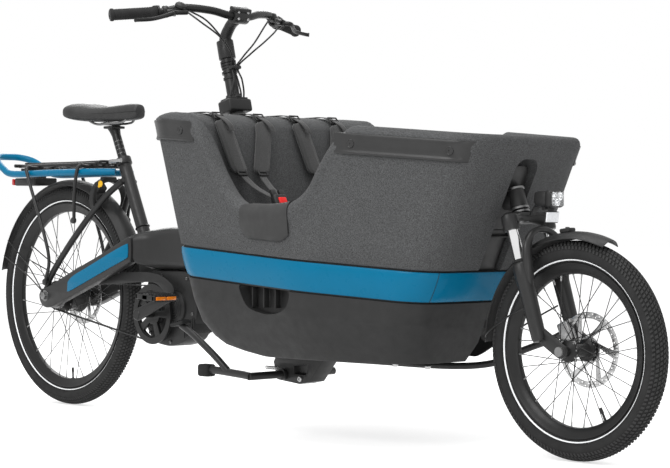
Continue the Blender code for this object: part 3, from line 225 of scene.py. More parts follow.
FOAM = foam_material()
BLUE = paint_material("blue_clearcoat", (0.000, 0.104, 0.200), (0.000, 0.099, 0.188), 0.30, 0.05, 0.08)
PAINT = paint_material("black_powder_coat", grey(0.016), grey(0.013), 0.38, 0.0, 0.26)
PAINT_DARK = paint_material("black_anodised", grey(0.011), grey(0.009), 0.34)
TUB = plastic_material("tub_plastic", 0.016, 0.58, 900.0, 0.0003)
PLASTIC = plastic_material("black_plastic", 0.015, 0.48)
TRIM = plastic_material("grey_trim", 0.024, 0.32, 1400.0, 0.0001)
PAD = plastic_material("step_rubber", 0.028, 0.60, 700.0, 0.0003)
GRIP = plastic_material("grip_rubber", 0.013, 0.82, 500.0, 0.0004)
HOSE = plastic_material("hose_jacket", 0.014, 0.38, 1500.0, 0.0001)
TYRE = plastic_material("tyre_rubber", 0.014, 0.78, 420.0, 0.0004)
TREAD = plastic_material("tread_rubber", 0.028, 0.86, 420.0, 0.0004)
CHROME = metal_material("chrome_plate", 0.82, 0.10, (1.0, 1.0, 0.15))
STEEL = metal_material("brushed_steel", 0.50, 0.32, (1.0, 0.2, 1.0))
DARK_STEEL = metal_material("dark_steel", 0.20, 0.38)
ALLOY = metal_material("cast_alloy", 0.36, 0.45)
CLOTH = cloth_material("bench_cloth", 0.026, 260.0)
WEBBING = cloth_material("webbing", 0.022, 420.0, 0.15)
SHOULDER = cloth_material("shoulder_pad_cloth", 0.024, 330.0)
SADDLE = leather_material()
CLEAR = clear_material()
STRIPE = reflector_material("tyre_reflex", (0.80, 0.81, 0.82), 0.35, 0.2)
WHITE_REFLEX = reflector_material("white_reflector", (0.72, 0.73, 0.75))
ORANGE_REFLEX = reflector_material("orange_reflector", (0.75, 0.20, 0.01))
RED_REFLEX = reflector_material("red_reflector", (0.42, 0.012, 0.010))
RED = paint_material("red_button", (0.62, 0.010, 0.008), (0.50, 0.008, 0.006), 0.35)
YELLOW = paint_material("key_yellow", (0.75, 0.42, 0.01), (0.62, 0.34, 0.01), 0.4)
MIRROR = metal_material("lamp_mirror", 0.90, 0.12)
SCREEN = paint_material("screen_glass", (0.010, 0.012, 0.014), (0.006, 0.007, 0.008), 0.10, 0.8)


# ---------------------------------------------------------------- shapes, each a bmesh
def smooth_route(points, spans=6):
    """Points along a Catmull-Rom curve; works on vectors and on plain tuples of numbers."""
    knots = [Vector(p) for p in points]
    knots = [knots[0] * 2 - knots[1]] + knots + [knots[-1] * 2 - knots[-2]]
    route = []
    for before, a, b, after in zip(knots, knots[1:], knots[2:], knots[3:]):
        for i in range(spans):
            t = i / spans
            route.append(0.5 * (2 * a + (b - before) * t + (2 * before - 5 * a + 4 * b - after) * t * t
                                + (3 * a - before - 3 * b + after) * t ** 3))
    return route + [knots[-2]]


def loft(rings, around=False, ring_closed=True, caps=True):
    """Skin over rings of equal point counts; around joins the last ring to the first."""
    solid = bmesh.new()
    rows = [[solid.verts.new(point) for point in ring] for ring in rings]
    count = len(rows[0])
    pairs = zip(rows, rows[1:] + (rows[:1] if around else []))
    for low, high in pairs:
        for i in range(count if ring_closed else count - 1):
            j = (i + 1) % count
            solid.faces.new((low[i], low[j], high[j], high[i]))
    if caps and not around and ring_closed:
        solid.faces.new(rows[0])
        solid.faces.new(reversed(rows[-1]))
    bmesh.ops.recalc_face_normals(solid, faces=solid.faces)
    return solid


def sweep(points, radius, sides=20, spans=6, flat=1.0):
    """A tube along a smooth route. radius is one number or one per point; flat scales its height."""
    radii = [radius] * len(points) if isinstance(radius, (int, float)) else list(radius)
    route = smooth_route(points, spans) if spans > 1 else [Vector(p) for p in points]
    sizes = [v.x for v in smooth_route([(r, 0, 0) for r in radii], spans)] if spans > 1 else radii
    rings = []
    across = None
    for i, place in enumerate(route):
        along = (route[min(i + 1, len(route) - 1)] - route[max(i - 1, 0)]).normalized()
        if across is None:
            across = along.orthogonal().normalized() if flat == 1.0 else along.cross((0, 0, 1)).normalized()
        across = (across - along * across.dot(along)).normalized()
        over = along.cross(across)
        ring = []
        for k in range(sides):
            a = math.tau * k / sides
            ring.append(place + across * math.cos(a) * sizes[i] + over * math.sin(a) * sizes[i] * flat)
        rings.append(ring)
    return loft(rings)


def rod(start, end, radius, end_radius=None, sides=32, edge=0.0):
    """A straight round bar or cone; edge rounds its ends."""
    start, end = Vector(start), Vector(end)
    end_radius = radius if end_radius is None else end_radius
    along = (end - start).normalized()
    if not edge:
        return sweep([start, end], [radius, end_radius], sides, 1)
    route = [start, start + along * edge * 0.35, start + along * edge,
             end - along * edge, end - along * edge * 0.35, end]
    radii = [radius - edge, radius - edge * 0.25, radius, end_radius, end_radius - edge * 0.25,
             end_radius - edge]
    return sweep(route, radii, sides, 1)


def turned(profile, place, axis=(0.0, 1.0, 0.0), steps=64, ring=False):
    """A lathe shape; the profile is (radius, height). ring closes the profile on itself."""
    turn = to_top(1).rotation_difference(Vector(axis)).to_matrix()
    rings = []
    for i in range(steps):
        a = math.tau * i / steps
        rings.append([Vector(place) + turn @ Vector((r * math.cos(a), r * math.sin(a), h))
                      for r, h in profile])
    solid = loft(rings, around=True, ring_closed=ring)
    bmesh.ops.remove_doubles(solid, verts=solid.verts, dist=0.000001)
    bmesh.ops.recalc_face_normals(solid, faces=solid.faces)
    return solid


def block(centre, size, edge=0.0, lean=0.0, heading=0.0, segments=3):
    """A box with rounded edges; lean turns it about Y and heading about Z."""
    solid = bmesh.new()
    bmesh.ops.create_cube(solid, size=1.0, matrix=Matrix.Diagonal((*size, 1.0)))
    if edge:
        bmesh.ops.bevel(solid, geom=solid.edges[:], offset=edge, segments=segments, profile=0.5,
                        affect="EDGES", clamp_overlap=True)
    turn = Matrix.Rotation(heading, 4, "Z") @ Matrix.Rotation(-lean, 4, "Y")
    solid.transform(Matrix.Translation(centre) @ turn)
    return solid


def plate(loops, thick, y, edge=0.0006):
    """A flat outline in X and Z with holes as further loops, its edges eased, its middle at y."""
    curve = bpy.data.curves.new("plate", "CURVE")
    curve.dimensions = "2D"
    curve.fill_mode = "BOTH"
    curve.extrude = thick / 2 - edge
    curve.bevel_depth = edge
    curve.bevel_resolution = 1
    curve.offset = -edge
    for loop in loops:
        spline = curve.splines.new("POLY")
        spline.points.add(len(loop) - 1)
        for point, (x, z) in zip(spline.points, loop):
            point.co = (x, z, 0.0, 1.0)
        spline.use_cyclic_u = True
    holder = bpy.data.objects.new("plate", curve)
    bpy.context.scene.collection.objects.link(holder)
    bpy.context.view_layer.update()
    mesh = evaluated_mesh(holder)
    solid = bmesh.new()
    solid.from_mesh(mesh)
    bpy.data.objects.remove(holder, do_unlink=True)
    bpy.data.meshes.remove(mesh)
    bmesh.ops.remove_doubles(solid, verts=solid.verts, dist=0.00001)
    bmesh.ops.recalc_face_normals(solid, faces=solid.faces)
    solid.transform(Matrix.Translation((0, y, 0)) @ Matrix.Rotation(math.pi / 2, 4, "X"))
    return solid


def ribbon(points, width, thick, side=(0.0, 1.0, 0.0), spans=8):
    """A flat strap with eased edges along a smooth route; side is its width's direction."""
    route = smooth_route(points, spans) if spans > 1 else [Vector(p) for p in points]
    side = Vector(side).normalized()
    half, rings, ease = width / 2, [], 0.35
    shape = [(1.0, -ease), (1.0, ease), (0.94, 1.0), (0.5, 1.0), (0.0, 1.0), (-0.5, 1.0), (-0.94, 1.0),
             (-1.0, ease), (-1.0, -ease), (-0.94, -1.0), (0.0, -1.0), (0.94, -1.0)]
    for i, place in enumerate(route):
        along = route[min(i + 1, len(route) - 1)] - route[max(i - 1, 0)]
        out = along.cross(side).normalized() * thick / 2
        rings.append([place + side * half * a + out * b for a, b in shape])
    return loft(rings)


def circle(centre_x, centre_z, radius, count=48, start=0.0, turn=math.tau):
    """Points on a circle or, with a turn, on an arc that includes both ends."""
    steps = count if turn == math.tau else count - 1
    return [(centre_x + radius * math.cos(start + turn * i / steps),
             centre_z + radius * math.sin(start + turn * i / steps)) for i in range(count)]


def round_both(first, first_r, second, second_r, count=48):
    """Outline that wraps two circles."""
    (x1, z1), (x2, z2) = first, second
    heading = math.atan2(z2 - z1, x2 - x1)
    opening = math.acos((first_r - second_r) / math.hypot(x2 - x1, z2 - z1))
    half = count // 2
    return (circle(x1, z1, first_r, half, heading + opening, math.tau - 2 * opening)
            + circle(x2, z2, second_r, half, heading - opening, 2 * opening))


def soft_outline(points, spans=5):
    """A closed outline in X and Z, rounded through its points."""
    knots = [(*points[i % len(points)], 0.0) for i in range(-1, len(points) + 2)]
    route = smooth_route(knots, spans)[spans:-2 * spans]
    return [(v.x, v.y) for v in route]


def mirrored(points):
    """The same points on the other side of the bicycle."""
    return [Vector((p[0], -p[1], p[2])) for p in points]


def symmetric(half):
    """A route from its right half, whose last point lies on the middle plane."""
    return [Vector(p) for p in half] + mirrored(list(reversed(half))[1:])


def flat(point):
    """A point's X and Z, for a plate's outline."""
    return (point.x, point.z)


def bolt(place, axis, radius=0.005, height=0.004):
    """A socket-head bolt: a rounded cap with a sunk middle."""
    shape = [(0.0, 0.0), (1.0, 0.0), (1.0, 0.7), (0.86, 1.0), (0.52, 1.0), (0.5, 0.45), (0.0, 0.45)]
    return turned([(radius * r, height * h) for r, h in shape], place, axis, 20)


def to_front(x):
    """A step forward."""
    return Vector((x, 0.0, 0.0))


def to_left(y):
    """A step to the left."""
    return Vector((0.0, y, 0.0))


def to_top(z):
    """A step up."""
    return Vector((0.0, 0.0, z))


def evaluated_mesh(made):
    """A new mesh of the object with its modifiers applied."""
    return bpy.data.meshes.new_from_object(made.evaluated_get(bpy.context.evaluated_depsgraph_get()))


def as_object(name, solids):
    """One mesh object from the bmeshes, moved from the bicycle's frame to the model's."""
    mesh = bpy.data.meshes.new(name)
    whole, spare = bmesh.new(), bpy.data.meshes.new("spare")
    for solid in solids:
        solid.to_mesh(spare)
        whole.from_mesh(spare)
        solid.free()
    whole.transform(Matrix.Translation((DATUM_X, 0, 0)))
    whole.to_mesh(mesh)
    whole.free()
    bpy.data.meshes.remove(spare)
    made = bpy.data.objects.new(name, mesh)
    bpy.context.scene.collection.objects.link(made)
    return made


def fit_out(made, material, body, stands_for):
    """Smooth shading, material, body and replaced nodes for a shaped object."""
    made.data.shade_smooth()
    made.data.materials.clear()
    made.data.materials.append(material)
    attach(made, body)
    if stands_for:
        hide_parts(*stands_for)


def piece(name, solids, material, body, stands_for=(), sharp=32.0, cuts=()):
    """A finished piece: one object with its material, body and replaced nodes."""
    made = as_object(name, solids if isinstance(solids, list) else [solids])
    for cut in cuts:
        cutter = as_object(name + "_cutter", [cut])
        boolean = made.modifiers.new("cut", "BOOLEAN")
        boolean.operation = "DIFFERENCE"
        boolean.solver = "EXACT"
        boolean.object = cutter
        bpy.context.view_layer.update()
        result = evaluated_mesh(made)
        made.modifiers.clear()
        made.data = result
        bpy.data.objects.remove(cutter, do_unlink=True)
    fit_out(made, material, body, stands_for)
    made.data.set_sharp_from_angle(angle=math.radians(sharp))
    return made


# ---------------------------------------------------------------- wheels
REAR_AXLE = to_top(middle_of("rear_rotor").z)
FRONT_AXLE = middle_of("front_rotor")
FRONT_AXLE = Vector((FRONT_AXLE.x - DATUM_X, 0.0, FRONT_AXLE.z))
REAR_RADIUS, REAR_BEAD = 0.336, 0.2795
FRONT_RADIUS, FRONT_BEAD = 0.2595, 0.203
TYRE_HALF = 0.029
TREAD_DEPTH = 0.0026
SPOKES = 36
DISC_RADIUS, DISC_SEAT = 0.090, 0.0203
BELT_Y, BELT_WIDTH = -0.052, 0.0096


def tyre_point(middle, crown, angle, lift=0.0):
    """Radius and height on the tyre's section at an angle from the middle of its tread."""
    return (middle + (crown + lift) * math.cos(angle), (TYRE_HALF + lift) * math.sin(angle))


def tread(axle, middle, crown, count):
    """Rows of small blocks over the crown and longer ones on the shoulders."""
    rows = [(-64, 17, 0.56, 0.3), (-43, 15, 0.62, 0.0), (-24, 13, 0.66, 0.5), (-7.5, 11, 0.66, 0.0),
            (7.5, 11, 0.66, 0.5), (24, 13, 0.66, 0.0), (43, 15, 0.62, 0.5), (64, 17, 0.56, 0.8)]
    solid = bmesh.new()
    for angle, width, share, offset in rows:
        for i in range(count):
            around = math.tau * (i + offset) / count
            half = math.tau / count * share / 2
            slant = half * 0.55 * (1 if angle < 0 else -1)
            corners = []
            for turn, section in ((-1, -1), (1, -1), (1, 1), (-1, 1)):
                a = math.radians(angle + section * width / 2)
                corners.append((around + turn * half + slant * section, a))
            rings = []
            for lift, shrink in ((-0.0006, 1.0), (TREAD_DEPTH * 0.8, 0.96), (TREAD_DEPTH, 0.84)):
                ring = []
                for turn, a in corners:
                    turn = around + (turn - around) * shrink
                    a = math.radians(angle) + (a - math.radians(angle)) * shrink
                    r, y = tyre_point(middle, crown, a, lift - TREAD_DEPTH)
                    ring.append(solid.verts.new(axle + Vector((r * math.cos(turn), y, r * math.sin(turn)))))
                rings.append(ring)
            for low, high in zip(rings, rings[1:]):
                for k in range(4):
                    solid.faces.new((low[k], low[(k + 1) % 4], high[(k + 1) % 4], high[k]))
            solid.faces.new(rings[-1])
    bmesh.ops.recalc_face_normals(solid, faces=solid.faces)
    return solid


def tyre(name, axle, radius, bead, body, blocks, stripe_r):
    """Carcass, tread blocks and the reflective line on both sidewalls."""
    middle, crown = (radius + bead) / 2, (radius - bead) / 2
    angles = [math.radians(132 - 264 * i / 32) for i in range(33)]
    profile = [(bead, 0.0125)] + [tyre_point(middle, crown, a, -TREAD_DEPTH) for a in angles]
    profile += [(bead, -0.0125), (bead, -0.009), (middle, -0.022), (middle, 0.022), (bead, 0.009)]
    piece(name + "_carcass", turned(profile, axle, steps=128, ring=True), TYRE, body, [name], 50)
    piece(name + "_tread", tread(axle, middle, crown, blocks), TREAD, body, sharp=25)
    centre = math.acos((stripe_r - middle) / (crown - TREAD_DEPTH))
    stripes, moulding = [], []
    for side in (-1, 1):
        band = [tyre_point(middle, crown, side * (centre + d), 0.0004 * s - TREAD_DEPTH)
                for d, s in ((-0.075, 0), (-0.07, 1), (0.0, 1.3), (0.07, 1), (0.075, 0))]
        stripes.append(turned(band, axle, steps=128, ring=True))
        for lean in (-0.30, -0.16, 0.22):
            line = [tyre_point(middle, crown, side * (centre + lean + d), 0.0005 * s - TREAD_DEPTH)
                    for d, s in ((-0.02, 0), (-0.012, 1), (0.012, 1), (0.02, 0))]
            moulding.append(turned(line, axle, steps=128, ring=True))
    piece(name + "_reflex_line", stripes, STRIPE, body)
    piece(name + "_wall_lines", moulding, TYRE, body)


def laced_wheel(name, axle, bead, hub, flange_r, flange_y, body, valve_angle):
    """Double-wall rim, thin crossed spokes with nipples, valve and hub."""
    rim = [(bead + 0.004, 0.0172), (bead + 0.0035, 0.0184), (bead + 0.001, 0.0186), (bead - 0.001, 0.0176),
           (bead - 0.008, 0.0150), (bead - 0.017, 0.0112), (bead - 0.0215, 0.0070), (bead - 0.0230, 0.0)]
    rim = rim + [(r, -h) for r, h in reversed(rim[:-1])] + [(bead - 0.004, -0.0134), (bead - 0.004, 0.0134)]
    piece(name + "_rim", turned(rim, axle, steps=128, ring=True), PAINT_DARK, body, [name], 28)
    spokes, nipples = [], []
    for i in range(SPOKES):
        rim_angle = math.tau * (i + 0.5) / SPOKES
        side = 1 if i % 2 else -1
        lead = 1 if (i // 2) % 2 else -1
        hub_angle = rim_angle + lead * math.radians(62)
        start = axle + Vector((flange_r * math.cos(hub_angle), side * (flange_y + lead * 0.0016),
                               flange_r * math.sin(hub_angle)))
        end_r = bead - 0.0215
        end = axle + Vector((end_r * math.cos(rim_angle), side * 0.003, end_r * math.sin(rim_angle)))
        spokes.append(rod(start, end, 0.00105, sides=8))
        inward = (start - end).normalized()
        nipples.append(rod(end - inward * 0.001, end + inward * 0.013, 0.0022, 0.0017, 8))
        nipples.append(rod(start + to_left(side * 0.0022), start, 0.0028, 0.0028, 8))
    piece(name + "_spokes", spokes, PAINT_DARK, body)
    piece(name + "_nipples", nipples, ALLOY, body)
    piece(name + "_hub", turned(hub, axle, steps=64, ring=True), PAINT_DARK, body)
    out = Vector((math.cos(valve_angle), 0.0, math.sin(valve_angle)))
    foot, tip = axle + out * (bead - 0.022), axle + out * (bead - 0.056)
    stem = [rod(foot, tip, 0.0030, sides=16), rod(tip + out * 0.014, tip, 0.0040, 0.0036, 16)]
    nut = [(0.003, 0.0), (0.0065, 0.0), (0.0065, 0.002), (0.003, 0.002)]
    piece(name + "_valve", stem + [turned(nut, foot, -out, 20, True)], PLASTIC, body)


def disc(name, axle, y, body):
    """Vented brake disc: braking track with holes, six curved arms and the centre ring."""
    loops = [circle(axle.x, axle.z, DISC_RADIUS, 96), circle(axle.x, axle.z, DISC_SEAT, 48)]
    for i in range(6):
        start = math.tau * i / 6
        outer = circle(axle.x, axle.z, DISC_RADIUS - 0.0155, 10, start, math.radians(47))
        inner = circle(axle.x, axle.z, DISC_SEAT + 0.0125, 6, start + math.radians(70), math.radians(-36))
        loops.append(outer + inner)
    for i in range(48):
        a = math.tau * i / 48
        r = DISC_RADIUS - (0.0045 if i % 2 else 0.0105)
        loops.append(circle(axle.x + r * math.cos(a), axle.z + r * math.sin(a), 0.0020, 10))
    piece(name + "_disc", plate(loops, 0.0019, y, 0.0002), STEEL, body, [name])
    bolts = []
    for k in range(6):
        a, r = math.tau * k / 6 + 0.3, DISC_SEAT + 0.006
        place = axle + Vector((r * math.cos(a), y + 0.0009, r * math.sin(a)))
        bolts.append(bolt(place, (0, 1, 0), 0.0035, 0.002))
    piece(name + "_bolts", bolts, DARK_STEEL, body)


REAR_HUB = [(0.0085, 0.060), (0.0195, 0.060), (0.0195, 0.034), (0.030, 0.0325), (0.052, 0.0315),
            (0.0528, 0.0300), (0.0528, 0.0270), (0.050, 0.0255), (0.046, 0.0225), (0.0445, 0.012)]
REAR_HUB += [(r, -h) for r, h in reversed(REAR_HUB)]
FRONT_HUB = [(0.0085, 0.048), (0.0195, 0.048), (0.0195, 0.037), (0.0265, 0.0355), (0.0272, 0.0335),
             (0.0265, 0.0300), (0.0190, 0.0270), (0.0160, 0.020), (0.0155, -0.018), (0.0190, -0.0265),
             (0.0265, -0.0305), (0.0272, -0.0340), (0.0260, -0.0360), (0.0130, -0.041), (0.0125, -0.048),
             (0.0085, -0.048)]
WHEELS = (("rear", REAR_AXLE, REAR_RADIUS, REAR_BEAD, 186, 0.2903, REAR_HUB, (0.0490, 0.0290), -88, 0.048),
          ("front", FRONT_AXLE, FRONT_RADIUS, FRONT_BEAD, 144, 0.2140, FRONT_HUB, (0.0245, 0.0325), -62,
           0.042))
for end, axle_at, outer_r, bead_r, block_count, line_r, hub_shape, flange, valve, disc_y in WHEELS:
    tyre(end + "_tyre", axle_at, outer_r, bead_r, end + "_wheel", block_count, line_r)
    laced_wheel(end + "_wheel", axle_at, bead_r, hub_shape, *flange, end + "_wheel", math.radians(valve))
    disc(end + "_rotor", axle_at, disc_y, end + "_wheel")


# ---------------------------------------------------------------- fork, mudguard, lamp
FRONT_GUARD_R, REAR_GUARD_R, GUARD_HALF = 0.281, 0.356, 0.034
FORK_LEAN = math.radians(18.25)
FORK_POINT = Vector((1.845, 0.0, 0.594))
FORK_UP = Vector((-math.sin(FORK_LEAN), 0.0, math.cos(FORK_LEAN)))
FORK_FORWARD = Vector((math.cos(FORK_LEAN), 0.0, math.sin(FORK_LEAN)))
LEG_Y, LEG_AHEAD = 0.065, 0.016


def on_fork(up, ahead, y=0.0):
    """A point measured along the steering axis from its reference point, and forward of it."""
    return FORK_POINT + FORK_UP * up + FORK_FORWARD * ahead + to_left(y)


def fork_crown():
    """Forged crown on its steerer, the stanchions and their top caps."""
    bridge = symmetric([on_fork(-0.044, LEG_AHEAD, -0.065), on_fork(-0.033, 0.014, -0.050),
                        on_fork(-0.025, 0.006, -0.026), on_fork(-0.0235, 0.001, 0.0)])
    crown = [rod(on_fork(-0.037, 0), on_fork(0.044, 0), 0.0143),
             sweep(bridge, [0.0175, 0.0160, 0.0155, 0.0165, 0.0155, 0.0160, 0.0175], 28, 8),
             sweep(symmetric([on_fork(-0.030, LEG_AHEAD + 0.014, -0.062),
                              on_fork(-0.021, 0.021, -0.034), on_fork(-0.019, 0.017, 0.0)]),
                   0.0055, 16, 8)]
    stanchions, caps = [], []
    for side in BOTH:
        y = side * LEG_Y
        top = on_fork(-0.020, LEG_AHEAD, y)
        crown.append(turned([(0.0, 0.0), (0.0150, 0.0), (0.0195, -0.003), (0.0208, -0.008),
                             (0.0208, -0.034), (0.0190, -0.040), (0.0, -0.041)], top, FORK_UP, 40))
        stanchions.append(rod(on_fork(-0.205, LEG_AHEAD, y), on_fork(-0.055, LEG_AHEAD, y), 0.0135))
        caps.append(turned([(0.0, 0.003), (0.0105, 0.003), (0.0125, 0.001), (0.0125, -0.002)], top, FORK_UP,
                           12))
        crown.append(bolt(on_fork(-0.046, LEG_AHEAD + 0.019, y), FORK_FORWARD, 0.0042, 0.004))
    piece("crown_forging", crown, PAINT, "fork_upper", ["fork_crown"], 40)
    piece("stanchions", stanchions, CHROME, "fork_upper")
    piece("fork_top_caps", caps, PAINT_DARK, "fork_upper")
    piece("crown_race", turned([(0.0145, 0.0), (0.0225, -0.001), (0.0225, -0.0055), (0.0145, -0.008)],
                               on_fork(-0.006, 0), FORK_UP, 48, True), DARK_STEEL, "fork_upper")


def fork_lowers():
    """Cast legs with dust seals, the brace over the tyre, dropouts, axle and brake calliper."""
    legs, seals = [], []
    foot = on_fork(-0.318, 0.018)
    for side in BOTH:
        y = side * LEG_Y
        legs.append(turned([(0.0, -0.1395), (0.0150, -0.1395), (0.0188, -0.1420), (0.0212, -0.148),
                            (0.0212, -0.176), (0.0204, -0.188), (0.0192, -0.240), (0.0182, -0.300),
                            (0.0178, -0.326), (0.0150, -0.334), (0.0, -0.336)],
                           on_fork(0.0, LEG_AHEAD, y), FORK_UP, 48))
        legs.append(plate([round_both(flat(foot), 0.0170, flat(FRONT_AXLE), 0.0165, 40)], 0.0125,
                          side * 0.059, 0.002))
        seals.append(turned([(0.0137, -0.1330), (0.0150, -0.1330), (0.0172, -0.1375), (0.0185, -0.1400),
                             (0.0137, -0.1400)], on_fork(0.0, LEG_AHEAD, y),
                            FORK_UP, 48, True))
    shoulder = symmetric([on_fork(-0.206, 0.024, -0.0640), on_fork(-0.158, 0.034, -0.0635),
                          on_fork(-0.110, 0.043, -0.0600), on_fork(-0.084, 0.048, -0.0440),
                          on_fork(-0.071, 0.050, -0.0200), on_fork(-0.069, 0.051, 0.0)])
    legs.append(sweep(shoulder, [0.0110, 0.0135, 0.0118, 0.0092, 0.0078, 0.0075, 0.0078, 0.0092, 0.0118,
                                 0.0135, 0.0110], 24, 8))
    piece("fork_legs", legs, PAINT, "fork_lower", ["fork_lowers"], 40)
    piece("fork_dust_seals", seals, GRIP, "fork_lower")
    axle = [rod(FRONT_AXLE - to_left(0.063), FRONT_AXLE + to_left(0.063), 0.0078),
            rod(FRONT_AXLE - to_left(0.070), FRONT_AXLE - to_left(0.0652), 0.0115, 0.0125, 24),
            rod(FRONT_AXLE + to_left(0.0652), FRONT_AXLE + to_left(0.0690), 0.0130, 0.0115, 6)]
    piece("front_axle", axle, DARK_STEEL, "fork_lower", sharp=30)
    heel = FRONT_AXLE + Vector((-0.070, 0.0, 0.036))
    lean = math.radians(24)
    calliper = [block(heel + to_left(0.0555), (0.040, 0.020, 0.062), 0.007, lean),
                block(heel + Vector((0.004, 0.0338, 0.004)), (0.034, 0.010, 0.050), 0.004, lean),
                block(heel + Vector((0.012, 0.045, 0.030)), (0.016, 0.026, 0.010), 0.003, lean)]
    piece("front_calliper", calliper, ALLOY, "fork_lower")
    bolts = [bolt(heel + Vector((0.012 * k, 0.0655, 0.018 * k)), (0, 1, 0), 0.0045, 0.003) for k in (-1, 1)]
    piece("front_calliper_bolts", bolts, STEEL, "fork_lower")


def guard_shell(axle, radius, start, turn, rows=72, taper=None):
    """A mudguard: an arched section with drooping edges, swept round the wheel."""
    rings = []
    for i in range(rows):
        t = i / (rows - 1)
        a = start + turn * t
        width = GUARD_HALF * (1.0 if taper is None else taper(t))
        ring = []
        for skin, order in ((0.0, range(-8, 9)), (0.0022, range(8, -9, -1))):
            for k in order:
                u = k / 8
                drop = 0.016 * abs(u) ** 2.2 + skin
                r = radius - drop
                ring.append(axle + Vector((r * math.cos(a), width * u * (1 - skin * 8), r * math.sin(a))))
        rings.append(ring)
    return loft(rings)


def front_guard():
    """Front mudguard, its wire stays and the clip on its top."""
    shell = guard_shell(FRONT_AXLE, FRONT_GUARD_R, math.radians(68), math.radians(110),
                        taper=lambda t: 1.0 - 0.18 * max(0.0, 1 - t / 0.06) ** 2)
    piece("front_guard", shell, PLASTIC, "fork_lower", ["front_fender"], 40)
    stays = []
    for side in BOTH:
        stays.append(sweep([(1.757, side * 0.029, 0.280), (1.786, side * 0.050, 0.296),
                            (1.856, side * 0.060, 0.334), (1.912, side * 0.061, 0.360)], 0.0021, 12, 8))
        stays.append(rod((1.756, side * 0.0345, 0.280), (1.756, side * 0.0300, 0.280), 0.0058, sides=20))
    piece("front_guard_stays", stays, PAINT_DARK, "fork_lower")
    angle = math.radians(97)
    top = FRONT_AXLE + Vector((math.cos(angle), 0, math.sin(angle))) * FRONT_GUARD_R + to_front(0.004)
    clip = [block(top + to_top(0.004), (0.030, 0.026, 0.010), 0.003, math.radians(7)),
            bolt(top + to_top(0.009), (0, 0, 1), 0.005, 0.003)]
    piece("front_guard_clip", clip, PLASTIC, "fork_lower")


def lamp():
    """Headlight: housing with bezel, mirror, inner reflectors and lens, and a white reflector below."""
    centre = Vector((1.936, 0.0, 0.617))
    body = [block(centre + to_front(-0.008), (0.048, 0.047, 0.038), 0.012),
            block(centre + to_front(0.018), (0.024, 0.052, 0.042), 0.009)]
    hollow = block(centre + to_front(0.0305), (0.030, 0.043, 0.034), 0.007)
    piece("lamp_housing", body[:1], PLASTIC, "fork_upper", ["headlight"])
    piece("lamp_bezel", body[1:], PLASTIC, "fork_upper", cuts=[hollow])
    bowls = [turned([(0.0095, 0.0), (0.0085, -0.004), (0.0055, -0.0075), (0.002, -0.009), (0.0, -0.009)],
                    centre + Vector((0.0268, y, z)), (1, 0, 0), 32)
             for y, z in ((-0.0105, 0.006), (0.0105, 0.006), (0.0, -0.008))]
    piece("lamp_mirror", [block(centre + to_front(0.0175), (0.003, 0.0425, 0.0335), 0.001)] + bowls,
          MIRROR, "fork_upper")
    piece("lamp_lens", block(centre + to_front(0.0290), (0.0022, 0.0424, 0.0334), 0.0009), CLEAR,
          "fork_upper")
    bracket = [ribbon([(1.884, 0, 0.578), (1.897, 0, 0.596), (1.912, 0, 0.603), (1.934, 0, 0.5975)], 0.018,
                      0.0045), rod((1.930, -0.012, 0.5955), (1.930, 0.012, 0.5955), 0.0055, sides=24),
               block((1.944, 0.0, 0.588), (0.004, 0.020, 0.022), 0.0015),
               block((1.9452, 0.0, 0.5735), (0.0040, 0.048, 0.0275), 0.0018, math.radians(-8))]
    piece("lamp_bracket", bracket, PLASTIC, "fork_upper")
    piece("front_white_reflector", block((1.9482, 0.0, 0.5735), (0.0030, 0.0445, 0.0240), 0.0012,
                                         math.radians(-8)), WHITE_REFLEX, "fork_upper")


fork_crown()
fork_lowers()
front_guard()
lamp()

# ---------------------------------------------------------------- cargo box
COLUMN_LEAN = math.radians(14.0)
COLUMN_POINT = Vector((0.777, 0.0, 0.904))
COLUMN_UP = Vector((-math.sin(COLUMN_LEAN), 0.0, math.cos(COLUMN_LEAN)))
# Cargo box: (level, half width, rear face, fall per metre towards the front)
BOX_LEVELS = [
    (0.213, 0.225, 1.100, 0.000), (0.225, 0.238, 1.036, 0.000), (0.240, 0.250, 0.980, 0.000),
    (0.260, 0.265, 0.955, 0.000), (0.300, 0.285, 0.925, 0.000), (0.360, 0.300, 0.908, 0.060),
    (0.420, 0.303, 0.888, 0.070), (0.490, 0.312, 0.872, 0.070), (0.857, 0.347, 0.795, 0.087)]
BOX_FALL_START = 0.90
BOX_FRONT_X, BOX_FRONT_Z, BOX_FRONT_RAKE = 1.742, 0.434, 0.465
BOX_BEND_X, BOX_TAPER = 1.370, math.radians(15.0)
BOX_CORNER_R, BOX_BEND_R = 0.095, 0.50
FOAM_WALL, FOAM_BACKREST = 0.045, 0.165
CHILD_Y, STRAP_Y = 0.138, 0.0725
FOAM_CREST, FOAM_BOTTOM = 0.857, 0.5026
BAND_TOP, BAND_BOTTOM = 0.498, 0.424
TUB_TOP, TUB_BOTTOM, TUB_WALL = 0.4194, 0.213, 0.006
FLOOR_TOP, FLOOR_THICK = 0.285, 0.012
SCOOP = [(0.940, 0.8572), (0.965, 0.853), (0.995, 0.842), (1.034, 0.801), (1.068, 0.714), (1.116, 0.644),
         (1.172, 0.610), (1.235, 0.603), (1.306, 0.602), (1.358, 0.609), (1.414, 0.641),
         (1.469, 0.714), (1.512, 0.769), (1.561, 0.801), (1.600, 0.802)]
# Steps of the plan outline, and columns over which a pad on the foam tapers
FINE, PAD_TAPER = 3, 3
RIM_STRIP_LEVEL, PLUG_LIFT = 0.808, 0.0050


def on_column(z, ahead=0.0, y=0.0):
    """A point on the column's axis at the given height, moved forward and sideways."""
    return COLUMN_POINT + COLUMN_UP * ((z - COLUMN_POINT.z) / COLUMN_UP.z) + Vector((ahead, y, 0.0))


